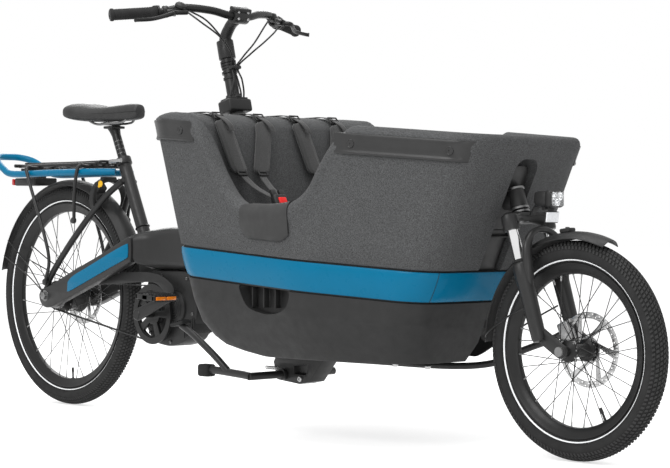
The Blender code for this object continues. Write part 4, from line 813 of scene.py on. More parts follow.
def between(table, key, column):
    """Straight-line reading of a column from a table sorted by its first column."""
    key = min(max(key, table[0][0]), table[-1][0])
    for low, high in zip(table, table[1:]):
        if key <= high[0]:
            share = (key - low[0]) / (high[0] - low[0])
            return low[column] + (high[column] - low[column]) * share
    return table[-1][column]


SCOOP_CURVE = [(v.x, v.y) for v in smooth_route([(x, z, 0.0) for x, z in SCOOP], 8)]


def arc_points(centre_x, centre_y, radius, start, end, steps):
    """Plan-view arc in X and Y between two headings."""
    return [(centre_x + radius * math.cos(start + (end - start) * i / steps),
             centre_y + radius * math.sin(start + (end - start) * i / steps)) for i in range(steps + 1)]


def straight(first, second, steps):
    """Points between two places, without the places themselves."""
    return [(first[0] + (second[0] - first[0]) * i / steps, first[1] + (second[1] - first[1]) * i / steps)
            for i in range(1, steps)]


def half_outline(level, inset=0.0, rear_inset=None):
    """Left half of the box's plan outline at a level, from rear middle to front middle."""
    half_width = between(BOX_LEVELS, level, 1) - inset
    rear = between(BOX_LEVELS, level, 2) + (inset if rear_inset is None else rear_inset)
    fall = between(BOX_LEVELS, level, 3)
    front_z = level - fall * (BOX_FRONT_X - BOX_FALL_START)
    front = BOX_FRONT_X + (front_z - BOX_FRONT_Z) * BOX_FRONT_RAKE - inset
    corner_r = max(BOX_CORNER_R - inset, 0.03)
    bend_r = BOX_BEND_R - inset
    bend_start = BOX_BEND_X - bend_r * math.tan(BOX_TAPER / 2)
    points = [(rear, 0.0)] + straight((rear, 0.0), (rear, half_width - corner_r), 4 * FINE)
    points += arc_points(rear + corner_r, half_width - corner_r, corner_r, math.pi, math.pi / 2, 4 * FINE)
    points += straight(points[-1], (bend_start, half_width), 12 * FINE)
    points += arc_points(bend_start, half_width - bend_r, bend_r, math.pi / 2, math.pi / 2 - BOX_TAPER,
                         3 * FINE)
    corner_x = front - corner_r
    wall_y = (half_width - math.tan(BOX_TAPER) * (corner_x - BOX_BEND_X)
              - corner_r / math.cos(BOX_TAPER))
    corner = arc_points(corner_x, wall_y, corner_r, math.pi / 2 - BOX_TAPER, 0.0, 4 * FINE)
    points += straight(points[-1], corner[0], 8 * FINE)
    return points + corner + straight(corner[-1], (front, 0.0), 3 * FINE) + [(front, 0.0)]


def outline(level, inset=0.0, rear_inset=None):
    """Whole plan outline, right side first from the rear middle, as X and Y pairs."""
    left = half_outline(level, inset, rear_inset)
    return [(x, -y) for x, y in left] + left[-2:0:-1]


OUTLINES = {}
COLUMNS = len(outline(0.5))
HALF = COLUMNS // 2


def box_point(column, level, inset=0.0, rear_inset=None):
    """A point on the box at one column of its outline, at a level that falls to the front."""
    key = (level, inset, rear_inset)
    if key not in OUTLINES:
        OUTLINES[key] = outline(*key)
    x, y = OUTLINES[key][column % COLUMNS]
    return Vector((x, y, level - between(BOX_LEVELS, level, 3) * max(x - BOX_FALL_START, 0.0)))


def on_side(column, side):
    """The column itself on the right, or its mirror image on the left."""
    return column if side < 0 else (COLUMNS - column) % COLUMNS


def crest_level(column, inset=0.0):
    """Level of the foam's rim at one place of its plan, lower in the scoops of the long sides."""
    x, y, _ = foam_point(column, FOAM_CREST, inset)
    if x < SCOOP[0][0] or x > SCOOP[-1][0]:
        return FOAM_CREST
    height = min(between(SCOOP_CURVE, x, 1) + 0.087 * max(x - BOX_FALL_START, 0.0), FOAM_CREST)
    share = min(max((abs(y) - 0.20) / 0.045, 0.0), 1.0)
    return FOAM_CREST - (FOAM_CREST - height) * share


def foam_point(column, level, inset):
    """A point on the foam, whose backrest is thicker than its other walls."""
    return box_point(column, level, inset, inset * FOAM_BACKREST / FOAM_WALL if inset > 0 else inset)


CREST_ARC = [(0.0, 0.036), (0.0007, 0.0270), (0.0028, 0.0185), (0.0066, 0.0115), (0.0116, 0.0066),
             (0.0172, 0.0036), (0.0230, 0.0024), (0.0285, 0.0030), (0.0338, 0.0056), (0.0385, 0.0104),
             (0.0420, 0.0170), (0.0442, 0.0255), (FOAM_WALL, 0.036)]


def foam_section(column):
    """Outer wall with its slightly proud rim, the rounded crest and the inner wall."""
    crest = crest_level(column)
    section = []
    for share in (0.0, 0.012, 0.2, 0.4, 0.6, 0.8):
        tuck = 0.003 if share == 0.0 else 0.0
        section.append(foam_point(column, FOAM_BOTTOM + (crest - 0.060 - FOAM_BOTTOM) * share, tuck))
    section += [foam_point(column, crest - below, -proud)
                for below, proud in ((0.060, 0.0), (0.054, 0.0004), (0.050, 0.0016), (0.046, 0.0022))]
    section += [foam_point(column, crest_level(column, inset) - below,
                           inset - 0.0022 * (1 - inset / FOAM_WALL)) for inset, below in CREST_ARC]
    inner_top = crest_level(column, FOAM_WALL) - CREST_ARC[-1][1]
    section += [foam_point(column, FOAM_BOTTOM + (inner_top - FOAM_BOTTOM) * share, FOAM_WALL)
                for share in (0.75, 0.5, 0.25, 0.0)]
    return section


def post_section(z, margin=0.0, front_margin=0.0, narrow=0.0):
    """Rounded cross-section of the front post, just behind the box's raked front face."""
    front = BOX_FRONT_X + (z - BOX_FRONT_Z) * BOX_FRONT_RAKE - 0.014 + front_margin
    back = front - 0.022 - margin - front_margin
    y = 0.0375 + margin - narrow
    r = 0.008
    corners = [(back + r, -y + r, math.pi, math.pi * 1.5), (front - r, -y + r, math.pi * 1.5, math.tau),
               (front - r, y - r, 0.0, math.pi / 2), (back + r, y - r, math.pi / 2, math.pi)]
    return [Vector((px, py, z)) for cx, cy, start, end in corners
            for px, py in arc_points(cx, cy, r, start, end, 5)]


def rear_cutters(edge):
    """Cutters for the column's channel and for the beam's recess in the box's rear wall."""
    return (rod(on_column(0.18), on_column(0.93), 0.028, sides=48),
            block((0.860, 0.0, 0.452), (0.150, 0.104, 0.200), edge))


def cargo_box():
    """Foam walls: one ring with a thick backrest, a scoop in each side and the post's slot."""
    rings = [foam_section(column) for column in range(COLUMNS)]
    slot_rows = ((0.42, 0.0), (0.690, 0.0), (0.698, 0.0035), (0.705, 0.009), (0.710, 0.016), (0.713, 0.024))
    slot = loft([post_section(z, 0.002, 0.06, narrow) for z, narrow in slot_rows])
    channel, recess = rear_cutters(0.01)
    box = piece("foam_box", loft(rings, around=True), FOAM, "frame", ["cargo_box"], 60,
                cuts=[channel, recess, slot])


def band_ring(rows):
    """A ring of the box's outline from (level, inset) rows."""
    return loft([[box_point(column, level, inset) for level, inset in rows]
                 for column in range(COLUMNS)], around=True)


def band():
    """Painted band, a black ring behind its grooves as painted shade for their shadow, and the joints at the
    front corners.
    """
    channel, recess = rear_cutters(0.004)
    rows = [(BAND_BOTTOM, 0.0055), (BAND_BOTTOM, 0.0015), (BAND_BOTTOM + 0.0012, 0.0003),
            (BAND_BOTTOM + 0.004, -0.0010), (BAND_BOTTOM + 0.016, -0.0032), (0.461, -0.0042),
            (BAND_TOP - 0.016, -0.0032), (BAND_TOP - 0.004, -0.0010), (BAND_TOP - 0.0012, 0.0003),
            (BAND_TOP, 0.0015), (BAND_TOP, 0.0055)]
    piece("band", band_ring(rows), BLUE, "frame", ["cargo_band"], 40, cuts=[recess, channel])
    channel, recess = rear_cutters(0.004)
    # Black ring behind the band's grooves: painted shade, standing in for the shadow that falls in them.
    groove_shade = [(TUB_TOP + 0.0005, 0.0062), (0.5010, 0.0062), (0.5010, 0.0100), (TUB_TOP + 0.0005, 0.0100)]
    piece("band_groove_shade", band_ring(groove_shade), PLASTIC, "frame", cuts=[recess, channel])
    seams = []
    for side in BOTH:
        column = on_side(HALF - 4 * FINE, side)
        route = [box_point(column, level, inset - 0.0002) for level, inset in rows[1:-1]]
        seams.append(sweep(route, 0.0007, 8, 1))
    piece("band_joints", seams, PLASTIC, "frame")


def tub_level(column, level):
    """The tub's lower edge rises on the left of the middle apron, where the steering rod passes."""
    place = box_point(column, 0.3)
    rise = min(max((place.x - 1.56) / 0.09, 0.0), 1.0) if place.y > 0.05 else 0.0
    rise = rise * rise * (3 - 2 * rise)
    top = FLOOR_TOP - FLOOR_THICK
    if level >= top:
        return level
    return top - (top - level) * (top - TUB_BOTTOM - 0.049 * rise) / (top - TUB_BOTTOM)


def tub():
    """Lower tub: curved sides, floor, rolled rim, grab holes with their cups and ribs."""
    rows = [(FLOOR_TOP, TUB_WALL), (0.330, TUB_WALL), (0.380, TUB_WALL), (TUB_TOP - 0.001, TUB_WALL),
            (TUB_TOP, TUB_WALL - 0.001), (TUB_TOP, 0.0012), (TUB_TOP - 0.0012, 0.0), (0.405, 0.0),
            (0.390, 0.0), (0.372, 0.0), (0.360, 0.0), (0.340, 0.0), (0.320, 0.0), (0.300, 0.0),
            (0.285, 0.0), (0.2715, 0.0), (0.262, 0.0), (0.250, 0.0), (0.240, 0.0), (0.232, 0.0),
            (0.224, 0.0), (0.217, 0.0), (TUB_BOTTOM + 0.0008, 0.0), (TUB_BOTTOM, 0.001),
            (TUB_BOTTOM, TUB_WALL), (0.240, TUB_WALL), (FLOOR_TOP - FLOOR_THICK, TUB_WALL)]
    rings = [[box_point(c, tub_level(c, level), inset) for c in range(COLUMNS)] for level, inset in rows]
    cuts = [*rear_cutters(0.004),
            loft([post_section(z, 0.002, 0.002) for z in (0.20, 0.44)]),
            block((1.690, 0.125, 0.262), (0.120, 0.150, 0.120), 0.01),
            block((1.080, 0.0, 0.236), (0.360, 0.066, 0.0725))]
    hole = soft_outline([(1.160, 0.4030), (1.163, 0.372), (1.190, 0.342), (1.246, 0.329), (1.304, 0.334),
                         (1.336, 0.356), (1.336, 0.3945), (1.246, 0.4045)], 8)
    for side in BOTH:
        cuts.append(plate([hole], 0.045, side * 0.300, 0.001))
    piece("tub_shell", loft(rings), TUB, "frame", ["lower_tub"], 38, cuts=cuts)
    ribs = []
    for side in BOTH:
        cup = [[Vector((1.234 + (x - 1.234) * s, side * y, 0.370 + (z - 0.370) * s)) for x, z in hole]
               for y, s in ((0.2960, 1.03), (0.2900, 1.0), (0.270, 0.95), (0.268, 0.0))]
        ribs.append(loft(cup, caps=False))
        for x in (1.190, 1.234, 1.278):
            ribs.append(block((x, side * 0.280, 0.370), (0.0035, 0.018, 0.052), 0.001))
    piece("tub_grab_cups", ribs, PLASTIC, "frame")


# ---------------------------------------------------------------- trim, seat and harness in the box
def box_columns(low_x, high_x, level):
    """Columns of the right half whose outline lies between two distances from the rear axle."""
    return [c for c in range(HALF) if low_x < box_point(c, level).x < high_x]


def wall_pad(columns, section):
    """A pad on the foam from (level, lift) rows; its ends taper down to the wall."""
    rings = []
    for i, column in enumerate(columns):
        inner = min(i, len(columns) - 1 - i)
        full = math.sin(math.pi / 2 * min((inner + 0.35) / (PAD_TAPER + 0.35), 1.0))
        rings.append([box_point(column, level, -(0.0006 + lift * full)) for level, lift in section])
    return loft(rings)


def plug(column, level, lift):
    """A round cap pressed into a strip on the foam, with its sunk centre."""
    place = box_point(column, level, -lift)
    along = box_point(column + 1, level) - box_point(column - 1, level)
    out = along.cross(to_top(1)).normalized()
    out = -out if out.dot(place - Vector((1.2, 0, level))) < 0 else out
    return turned([(0.0, 0.0), (0.0105, 0.0), (0.0105, 0.0014), (0.0098, 0.0020), (0.0088, 0.0020),
                   (0.0080, 0.0012), (0.0022, 0.0010), (0.0018, -0.0005), (0.0, -0.0005)], place, out, 32)


STRIP = [(0.7800, 0.0), (0.7806, 0.0058), (0.7826, 0.0078), (0.7862, 0.0080), (0.7890, 0.0062),
         (0.7930, 0.0046), (0.808, 0.0042), (0.822, 0.0042), (0.8305, 0.0046), (0.8335, 0.0030),
         (0.8342, 0.0)]


def trim():
    """Step pads in the scoops, handle strips on the front rim, rear corner caps and their plugs."""
    for name, side in SIDES:
        pad_columns = [on_side(c, side) for c in box_columns(1.180, 1.372, 0.6)]
        foot = min(crest_level(c) for c in pad_columns) - 0.088
        rings = []
        for i, column in enumerate(pad_columns):
            inner = min(i, len(pad_columns) - 1 - i)
            full = min(1.0, 0.55 + 0.25 * inner)
            low = foot + 0.020 * max(0.0, 1 - inner / 3) ** 2
            crest = crest_level(column)
            rows = [(low, 0.0), (low + 0.004, 0.0), (crest - 0.062, 0.0), (crest - 0.048, 0.0)]
            rows += [(crest_level(column, inset) - below, inset) for inset, below in CREST_ARC[:9]]
            under, over = [], []
            for k, (level, inset) in enumerate(rows):
                thick = 0.0052 * full if k else 0.0012
                rise = min(inset / 0.012, 1.0)
                under.append(foam_point(column, level + 0.0006 * rise, inset - 0.0028))
                lift = 0.0030 + thick * (1 - rise * 0.6)
                over.append(foam_point(column, level + thick * rise, inset - lift))
            rings.append(over + under[::-1])
        piece("step_pad_cover_" + name, loft(rings), PAD, "frame", ["step_pad_" + name], 50)
        strip_columns = [on_side(c, side) for c in box_columns(1.505, 2.0, 0.8) if c < HALF - 5 * FINE + 1]
        section = STRIP + [(level, lift - 0.0026) for level, lift in STRIP[-2:0:-1]]
        made = [wall_pad(strip_columns, section)]
        for share in (0.12, 0.80):
            made.append(plug(strip_columns[int(share * (len(strip_columns) - 1))], RIM_STRIP_LEVEL,
                             PLUG_LIFT))
        piece("handle_strip_" + name, made, TRIM, "frame", ["rim_handle_" + name], 40)
        cap_columns = [on_side(c, side) for c in range(3 * FINE, 8 * FINE + 11)]
        made = [wall_pad(cap_columns, section), plug(cap_columns[-5], RIM_STRIP_LEVEL, PLUG_LIFT)]
        piece("corner_cap_" + name, made, TRIM, "frame", ["rear_cap_" + name], 40)


def puffed(name, solid, voxel, pressure, cap, anchor):
    """Cloth under inner pressure, settled from the plain shape and held within cap of it."""
    made = as_object(name, [solid])
    remesh = made.modifiers.new("voxels", "REMESH")
    remesh.mode = "VOXEL"
    remesh.voxel_size = voxel
    bpy.context.view_layer.update()
    mesh = evaluated_mesh(made)
    made.modifiers.clear()
    made.data = mesh
    rest = [v.co.copy() for v in mesh.vertices]
    held = made.vertex_groups.new(name="held")
    held.add([v.index for v in mesh.vertices if anchor(v.co)], 1.0, "REPLACE")
    cloth = made.modifiers.new("cloth", "CLOTH")
    cloth.settings.quality = 6
    cloth.settings.mass = 0.3
    cloth.settings.tension_stiffness = 20.0
    cloth.settings.compression_stiffness = 12.0
    cloth.settings.bending_stiffness = 0.6
    cloth.settings.use_pressure = True
    cloth.settings.uniform_pressure_force = pressure
    cloth.settings.effector_weights.gravity = 0.0
    cloth.settings.vertex_group_mass = "held"
    cloth.collision_settings.use_collision = False
    for step in range(1, 21):
        bpy.context.scene.frame_set(step)
    settled = evaluated_mesh(made)
    made.modifiers.clear()
    made.data = settled
    bpy.context.scene.frame_set(1)
    for vertex, start in zip(settled.vertices, rest):
        moved = vertex.co - start
        if moved.length > cap:
            vertex.co = start + moved.normalized() * cap
    return made


def bench():
    """Two-place bench cushion with a sewn middle channel and piping along its front edge."""
    low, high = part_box("bench_seat")
    centre, size = (low + high) / 2, high - low
    core = block(centre - to_front(DATUM_X), size - Vector((0.014, 0.014, 0.010)), 0.014)
    made = puffed("bench_cushion", core, 0.006, 4.0, 0.008, lambda co: co.z < low.z + 0.008)
    for vertex in made.data.vertices:
        channel = math.exp(-(vertex.co.y / 0.010) ** 2)
        button = sum(math.exp(-((vertex.co.y - y) ** 2 + (vertex.co.x - centre.x) ** 2) / 0.020 ** 2)
                     for y in (-CHILD_Y, CHILD_Y))
        if vertex.co.z > centre.z:
            vertex.co.z -= 0.007 * channel + 0.003 * button
        vertex.co.z = min(vertex.co.z, high.z)
    surface = made.modifiers.new("smooth", "SUBSURF")
    surface.levels = 1
    surface.render_levels = 1
    fit_out(made, CLOTH, "frame", ["bench_seat"])
    x, z = high.x - DATUM_X - 0.006, centre.z + 0.002
    edge = [(x - 0.010, -0.236, z), (x, -0.222, z), (x, 0.0, z), (x, 0.222, z), (x - 0.010, 0.236, z)]
    piece("bench_piping", sweep(edge, 0.0024, 10, 8), WEBBING, "frame")


def shoulder_pad(name, y, lean):
    """Padded sleeve on one shoulder strap: rounded outline, crowned face and a sewn border."""
    route = smooth_route([(0.9735, y, 0.834), (0.986, y + lean * 0.2, 0.795),
                          (0.998, y + lean * 0.6, 0.740), (1.0095, y + lean, 0.690)], 10)
    rings = []
    for i, place in enumerate(route):
        t = i / (len(route) - 1)
        end = min(t, 1 - t) * 9.0
        half = 0.0235 * math.sqrt(max(0.0, 1 - max(0.0, 1 - end) ** 2)) + 0.0035
        along = route[min(i + 1, len(route) - 1)] - route[max(i - 1, 0)]
        out = along.cross(to_left(1)).normalized()
        out = out if out.x > 0 else -out
        ring = []
        for k in range(24):
            a = math.tau * k / 24
            u = math.copysign(abs(math.cos(a)) ** 0.6, math.cos(a))
            crown = math.copysign(abs(math.sin(a)) ** 0.75, math.sin(a)) * 0.0062
            groove = 0.0014 * math.exp(-((abs(u) - 0.80) / 0.06) ** 2) if math.sin(a) > 0 else 0.0
            ring.append(place + to_left(half * u) + out * (crown - groove))
        rings.append(ring)
    made = piece(name, loft(rings), SHOULDER, "frame", sharp=60)


def slider(place, width, lean):
    """A ladder-lock adjuster: a frame with two bars."""
    w, h, r = width / 2, 0.011, 0.0022
    turn = Matrix.Rotation(lean, 3, "Y")
    corners = [(-h, -w), (-h, w), (h, w), (h, -w), (-h, -w)]
    bars = [sweep([place + turn @ Vector((x1, y1, 0)), place + turn @ Vector((x2, y2, 0))], r, 10, 1)
            for (x1, y1), (x2, y2) in zip(corners, corners[1:])]
    bars.append(sweep([place + turn @ to_left(-w), place + turn @ to_left(w)], r, 10, 1))
    return bars


def harness(name, side):
    """One child's harness: straps over the crest, adjusters, pads, webbing and the buckle."""
    middle = side * CHILD_Y
    webbing, hard = [], []
    for sign in (-1, 1):
        y = middle + sign * STRAP_Y
        lean = -sign * 0.036
        webbing.append(ribbon([(0.802, y, 0.832), (0.812, y, 0.848), (0.840, y, 0.8560), (0.880, y, 0.8568),
                               (0.918, y, 0.8562), (0.948, y, 0.8490), (0.9640, y, 0.836),
                               (0.9720, y, 0.820)], 0.0240, 0.0022))
        webbing.append(ribbon([(0.9600, y, 0.846), (0.980, y + 0.004, 0.836), (0.992, y + 0.012, 0.822),
                               (0.9975, y + 0.018, 0.806)], 0.020, 0.0018))
        webbing.append(ribbon([(1.0075, y + lean * 0.9, 0.706), (1.022, y + lean * 1.1, 0.682),
                               (1.062, middle + sign * 0.026, 0.652), (1.118, middle + sign * 0.011,
                                                                       0.624)], 0.0235, 0.0022))
        hard += slider(Vector((0.9600, y, 0.8460)), 0.031, math.radians(48))
        hard += slider(Vector((1.0150, y + lean, 0.6955)), 0.029, math.radians(52))
        shoulder_pad("shoulder_pad_%s_%s" % (name, "outer" if sign == side else "inner"), y, lean)
    webbing.append(ribbon([(1.134, middle, 0.600), (1.146, middle, 0.588), (1.152, middle, 0.574)],
                          0.026, 0.0025))
    piece("harness_webbing_" + name, webbing, WEBBING, "frame", ["harness_" + name], 50)
    seat = Vector((1.128, middle, 0.612))
    hard.append(block(seat, (0.022, 0.046, 0.046), 0.007, math.radians(28)))
    hard += [block(seat + Vector((-0.012, k * 0.014, 0.025)), (0.010, 0.018, 0.022), 0.003, math.radians(35),
                   segments=2) for k in (-1, 1)]
    piece("harness_buckle_" + name, hard, PLASTIC, "frame")
    piece("harness_button_" + name, block(seat + Vector((0.0105, 0, 0.0045)), (0.008, 0.026, 0.022), 0.003,
                                          math.radians(28)), RED, "frame")


cargo_box()
band()
tub()
trim()
bench()
for side_name, side_sign in SIDES:
    harness(side_name, side_sign)
NODES["battery"].data.materials.clear()
NODES["battery"].data.materials.append(PLASTIC)

# ---------------------------------------------------------------- column, bar and controls
BAR_CLAMP = Vector((0.797, 0.0, 1.137))
GRIP_INNER, GRIP_OUTER = Vector((0.709, 0.222, 1.140)), Vector((0.656, 0.342, 1.128))
GRIP_AXIS = (GRIP_OUTER - GRIP_INNER).normalized()
ROD_Z = 0.188


def to_side(point, side):
    """A left-hand point, or its mirror image on the right."""
    return Vector((point.x, point.y * side, point.z))


def column():
    """Column tube with its lever, spacers and stem, and the moulded cover at its head."""
    foot = ROD_Z + 0.0155
    lever = ribbon([on_column(foot, 0, -0.015), on_column(foot, 0, 0.050), on_column(foot, 0, 0.110)],
                   0.026, 0.009, (1, 0, 0), 1)
    tube = [rod(on_column(foot - 0.006), on_column(1.055), 0.018, sides=48), lever]
    piece("column_tube", tube, PAINT, "column", ["steering_column"])
    rings = [turned([(0.0185, 0.0), (0.0222, -0.0008), (0.0222, -0.0070), (0.0185, -0.0078)],
                    on_column(z), COLUMN_UP, 48, True) for z in (0.985, 1.006, 1.0145)]
    piece("column_spacers", rings, PAINT_DARK, "column")
    neck = [on_column(1.040), on_column(1.066, 0.001), on_column(1.088, 0.010), (0.763, 0.0, 1.116),
            (0.783, 0.0, 1.129), BAR_CLAMP]
    stem = [rod(on_column(1.020), on_column(1.072), 0.0238, edge=0.002, sides=48),
            sweep(neck, [0.0180, 0.0175, 0.0165, 0.0158, 0.0160, 0.0165], 36, 8),
            rod(BAR_CLAMP - to_left(0.0255), BAR_CLAMP + to_left(0.0255), 0.0208, edge=0.002)]
    bore = rod(BAR_CLAMP - to_left(0.04), BAR_CLAMP + to_left(0.04), 0.0120)
    piece("stem_forging", stem, PAINT, "column", ["stem"], 40, cuts=[bore])
    bolts = [bolt(BAR_CLAMP + Vector((0.0185, y, z)), (1, 0, 0), 0.0036, 0.003)
             for y in (-0.017, 0.017) for z in (-0.009, 0.009)]
    bolts += [bolt(on_column(z, -0.0235), (-1, 0, 0), 0.0036, 0.003) for z in (1.032, 1.060)]
    piece("stem_bolts", bolts, STEEL, "column")
    cover = [block(on_column(0.885), (0.054, 0.082, 0.036), 0.006, COLUMN_LEAN),
             block(on_column(0.9045), (0.044, 0.066, 0.006), 0.002, COLUMN_LEAN),
             turned([(0.0182, 0.0), (0.0215, 0.0), (0.0240, -0.010), (0.0182, -0.010)],
                    on_column(0.917), COLUMN_UP, 40, True)]
    piece("column_cover", cover, PLASTIC, "column", ["head_cover"])


def bar():
    """Swept handlebar with ribbed grips, their clamps and end caps, and the brake controls."""
    half = [GRIP_OUTER + GRIP_AXIS * 0.002, GRIP_OUTER * 0.5 + GRIP_INNER * 0.5,
            GRIP_INNER - GRIP_AXIS * 0.012, Vector((0.746, 0.160, 1.154)), Vector((0.778, 0.090, 1.150)),
            Vector((0.795, 0.040, 1.139)), BAR_CLAMP]
    piece("bar_tube", sweep(symmetric([(p.x, -p.y, p.z) for p in half]), 0.0111, 32, 8), PAINT_DARK,
          "column", ["handlebar"])
    length = (GRIP_OUTER - GRIP_INNER).length
    for name, side in SIDES:
        axis = to_side(GRIP_AXIS, side)
        profile = [(0.0118, length), (0.0165, length), (0.0178, length - 0.003), (0.0172, length - 0.008)]
        for i in range(22):
            h = length - 0.010 - i * 0.0046
            profile += [(0.0158, h), (0.0150, h - 0.0012), (0.0150, h - 0.0030), (0.0158, h - 0.0042)]
        profile += [(0.0160, 0.0125), (0.0185, 0.0095), (0.0190, 0.006), (0.0190, 0.002), (0.0180, 0.0),
                    (0.0118, 0.0)]
        piece("grip_sleeve_" + name, turned(profile, to_side(GRIP_INNER, side), axis, 48, True), GRIP,
              "column", ["grip_" + name], 50)
        end = to_side(GRIP_OUTER, side)
        clamp = turned([(0.0120, 0.0), (0.0196, 0.0), (0.0196, -0.0055), (0.0120, -0.0055)],
                       to_side(GRIP_INNER, side) - axis * 0.0008, axis, 40, True)
        cap = turned([(0.0, 0.002), (0.012, 0.002), (0.0150, 0.0004)], end, axis, 32)
        piece("grip_clamp_" + name, [clamp, cap], PAINT_DARK, "column")
        brake(name, side, axis)


def brake(name, side, axis):
    """Hydraulic brake: clamp and reservoir on the bar, and the lever blade on its pin."""
    base = to_side(GRIP_INNER - GRIP_AXIS * 0.024, side)
    head = [turned([(0.0114, 0.007), (0.0160, 0.007), (0.0170, 0.005), (0.0170, -0.005), (0.0160, -0.007),
                    (0.0114, -0.007)], base, axis, 40, True),
            rod(base + Vector((0.022, side * 0.012, -0.004)), base + Vector((0.050, -side * 0.040, -0.003)),
                0.0082, 0.0066, edge=0.002),
            block(base + Vector((0.022, 0, -0.005)), (0.030, 0.018, 0.018), 0.004)]
    piece("brake_body_" + name, head, PAINT_DARK, "column")
    pin = to_side(GRIP_INNER - GRIP_AXIS * 0.024, side) + Vector((0.040, 0, -0.008))
    tip = to_side(GRIP_OUTER - GRIP_AXIS * 0.030, side)
    route = [pin + to_front(-0.006), pin + Vector((0.014, side * 0.018, -0.003)),
             Vector((tip.x + 0.074, tip.y - side * 0.055, tip.z - 0.014)),
             Vector((tip.x + 0.066, tip.y - side * 0.006, tip.z - 0.020)),
             Vector((tip.x + 0.072, tip.y + side * 0.004, tip.z - 0.021))]
    blade = sweep(route, [0.0050, 0.0048, 0.0042, 0.0040, 0.0046], 20, 10, 1.35)
    piece("brake_blade_" + name, [blade, rod(pin + to_top(0.0075), pin - to_top(0.0075), 0.0042, sides=20)],
          PAINT_DARK, name + "_lever", ["brake_lever_" + name])


def controls():
    """Small screen, switch pad and bell."""
    centre = BAR_CLAMP + Vector((0.008, 0, 0.0185))
    piece("display_housing", block(centre, (0.030, 0.060, 0.012), 0.004, math.radians(-22)), PLASTIC,
          "column")
    piece("display_glass", block(centre + Vector((-0.0022, 0, 0.0060)), (0.022, 0.050, 0.0016), 0.0007,
                                 math.radians(-22)), SCREEN, "column")
    left = Vector((0.742, 0.168, 1.152))
    piece("switch_pad", [block(left + Vector((0.002, 0, -0.001)), (0.026, 0.024, 0.022), 0.006, 0.0, 0.4),
                         block(left + Vector((-0.010, 0.004, 0.010)), (0.012, 0.020, 0.006), 0.002, 0.0,
                               0.4)], PLASTIC, "column")
    right = Vector((0.740, -0.172, 1.148))
    dome = turned([(0.0, 0.010), (0.010, 0.0085), (0.0155, 0.004), (0.0165, -0.002), (0.0150, -0.004),
                   (0.0, -0.004)], right + Vector((0.012, 0, 0.010)), (0.5, 0, 0.87), 40)
    piece("bell", [dome, block(right, (0.018, 0.014, 0.024), 0.004)], PLASTIC, "column")


def hoses():
    """Brake hoses and control cables, held by clips on the column and led into its cover."""
    routes = []
    for side in BOTH:
        start = to_side(GRIP_INNER - GRIP_AXIS * 0.024, side) + Vector((0.050, -side * 0.040, -0.003))
        routes.append([start, (0.800, side * 0.140, 1.112), (0.816, side * 0.085, 1.074),
                       (0.806, side * 0.036, 1.034), on_column(0.998, 0.026, side * 0.012),
                       on_column(0.962, 0.030, side * 0.015), on_column(0.930, 0.022, side * 0.022),
                       on_column(0.903, 0.010, side * 0.026)])
        routes.append([(0.760, side * 0.150, 1.146), (0.786, side * 0.106, 1.118),
                       (0.798, side * 0.056, 1.066), (0.792, side * 0.020, 1.026),
                       on_column(0.992, 0.023, side * 0.004), on_column(0.952, 0.024, side * 0.006),
                       on_column(0.922, 0.020, side * 0.012), on_column(0.903, 0.012, side * 0.014)])
    piece("control_hoses", [sweep(route, 0.0025, 12, 8) for route in routes], HOSE, "column",
          ["cables"], 60)
    ties = [turned([(0.0185, 0.003), (0.0208, 0.003), (0.0208, -0.003), (0.0185, -0.003)], on_column(z),
                   COLUMN_UP, 40, True) for z in (0.965, 0.995)]
    ties.append(block(on_column(0.995, 0.026), (0.018, 0.034, 0.010), 0.003, COLUMN_LEAN))
    piece("hose_clips", ties, PLASTIC, "column")


def steering_link():
    """Rod from the column's lever, under the box and round the wheel, to the fork leg."""
    joint = on_column(ROD_Z, 0.0, 0.10)
    route = [joint, (1.200, 0.118, ROD_Z), (1.480, 0.140, ROD_Z), (1.620, 0.158, 0.203),
             (1.706, 0.168, 0.238), (1.780, 0.166, 0.262), (1.852, 0.140, 0.284), (1.915, 0.108, 0.308)]
    link = [sweep(route, 0.0088, 24, 8), rod(joint - COLUMN_UP * 0.011, joint + COLUMN_UP * 0.0055, 0.014),
            block((1.915, 0.106, 0.309), (0.020, 0.014, 0.024), 0.004)]
    piece("link_rod", link, PAINT, "rod", ["steering_rod"])


column()
bar()
controls()
hoses()
steering_link()

# ---------------------------------------------------------------- frame
SEAT_TUBE_SLOPE, SEAT_TUBE_R = 0.4667, 0.019
STAY_Y, STAY_THICK, SEAT_STAY_R = 0.083, 0.030, 0.0095
BOTTOM_BRACKET = Vector((0.480, 0.0, 0.295))


def seat_line(z, y=0.0, ahead=0.0):
    """A point on the seat tube's axis at the given height."""
    return Vector((0.285 + SEAT_TUBE_SLOPE * (0.702 - z) + ahead, y, z))


def beam_section(x, bottom, top, half_width, points=8):
    """Rounded upright cross-section of a frame beam."""
    r = min(half_width, (top - bottom) / 2) * 0.55
    corners = [(half_width - r, top - r, 0.0), (-half_width + r, top - r, math.pi / 2),
               (-half_width + r, bottom + r, math.pi), (half_width - r, bottom + r, math.pi * 1.5)]
    return [Vector((x, y, z)) for cy, cz, start in corners
            for y, z in arc_points(cy, cz, r, start, start + math.pi / 2, points)]


def bead(place, axis, radius, thick=0.0026):
    """A weld bead round a tube."""
    return turned([(radius - 0.001, thick), (radius + thick * 0.7, thick * 0.5), (radius + thick, 0.0),
                   (radius + thick * 0.7, -thick * 0.5), (radius - 0.001, -thick)], place, axis, 40, True)


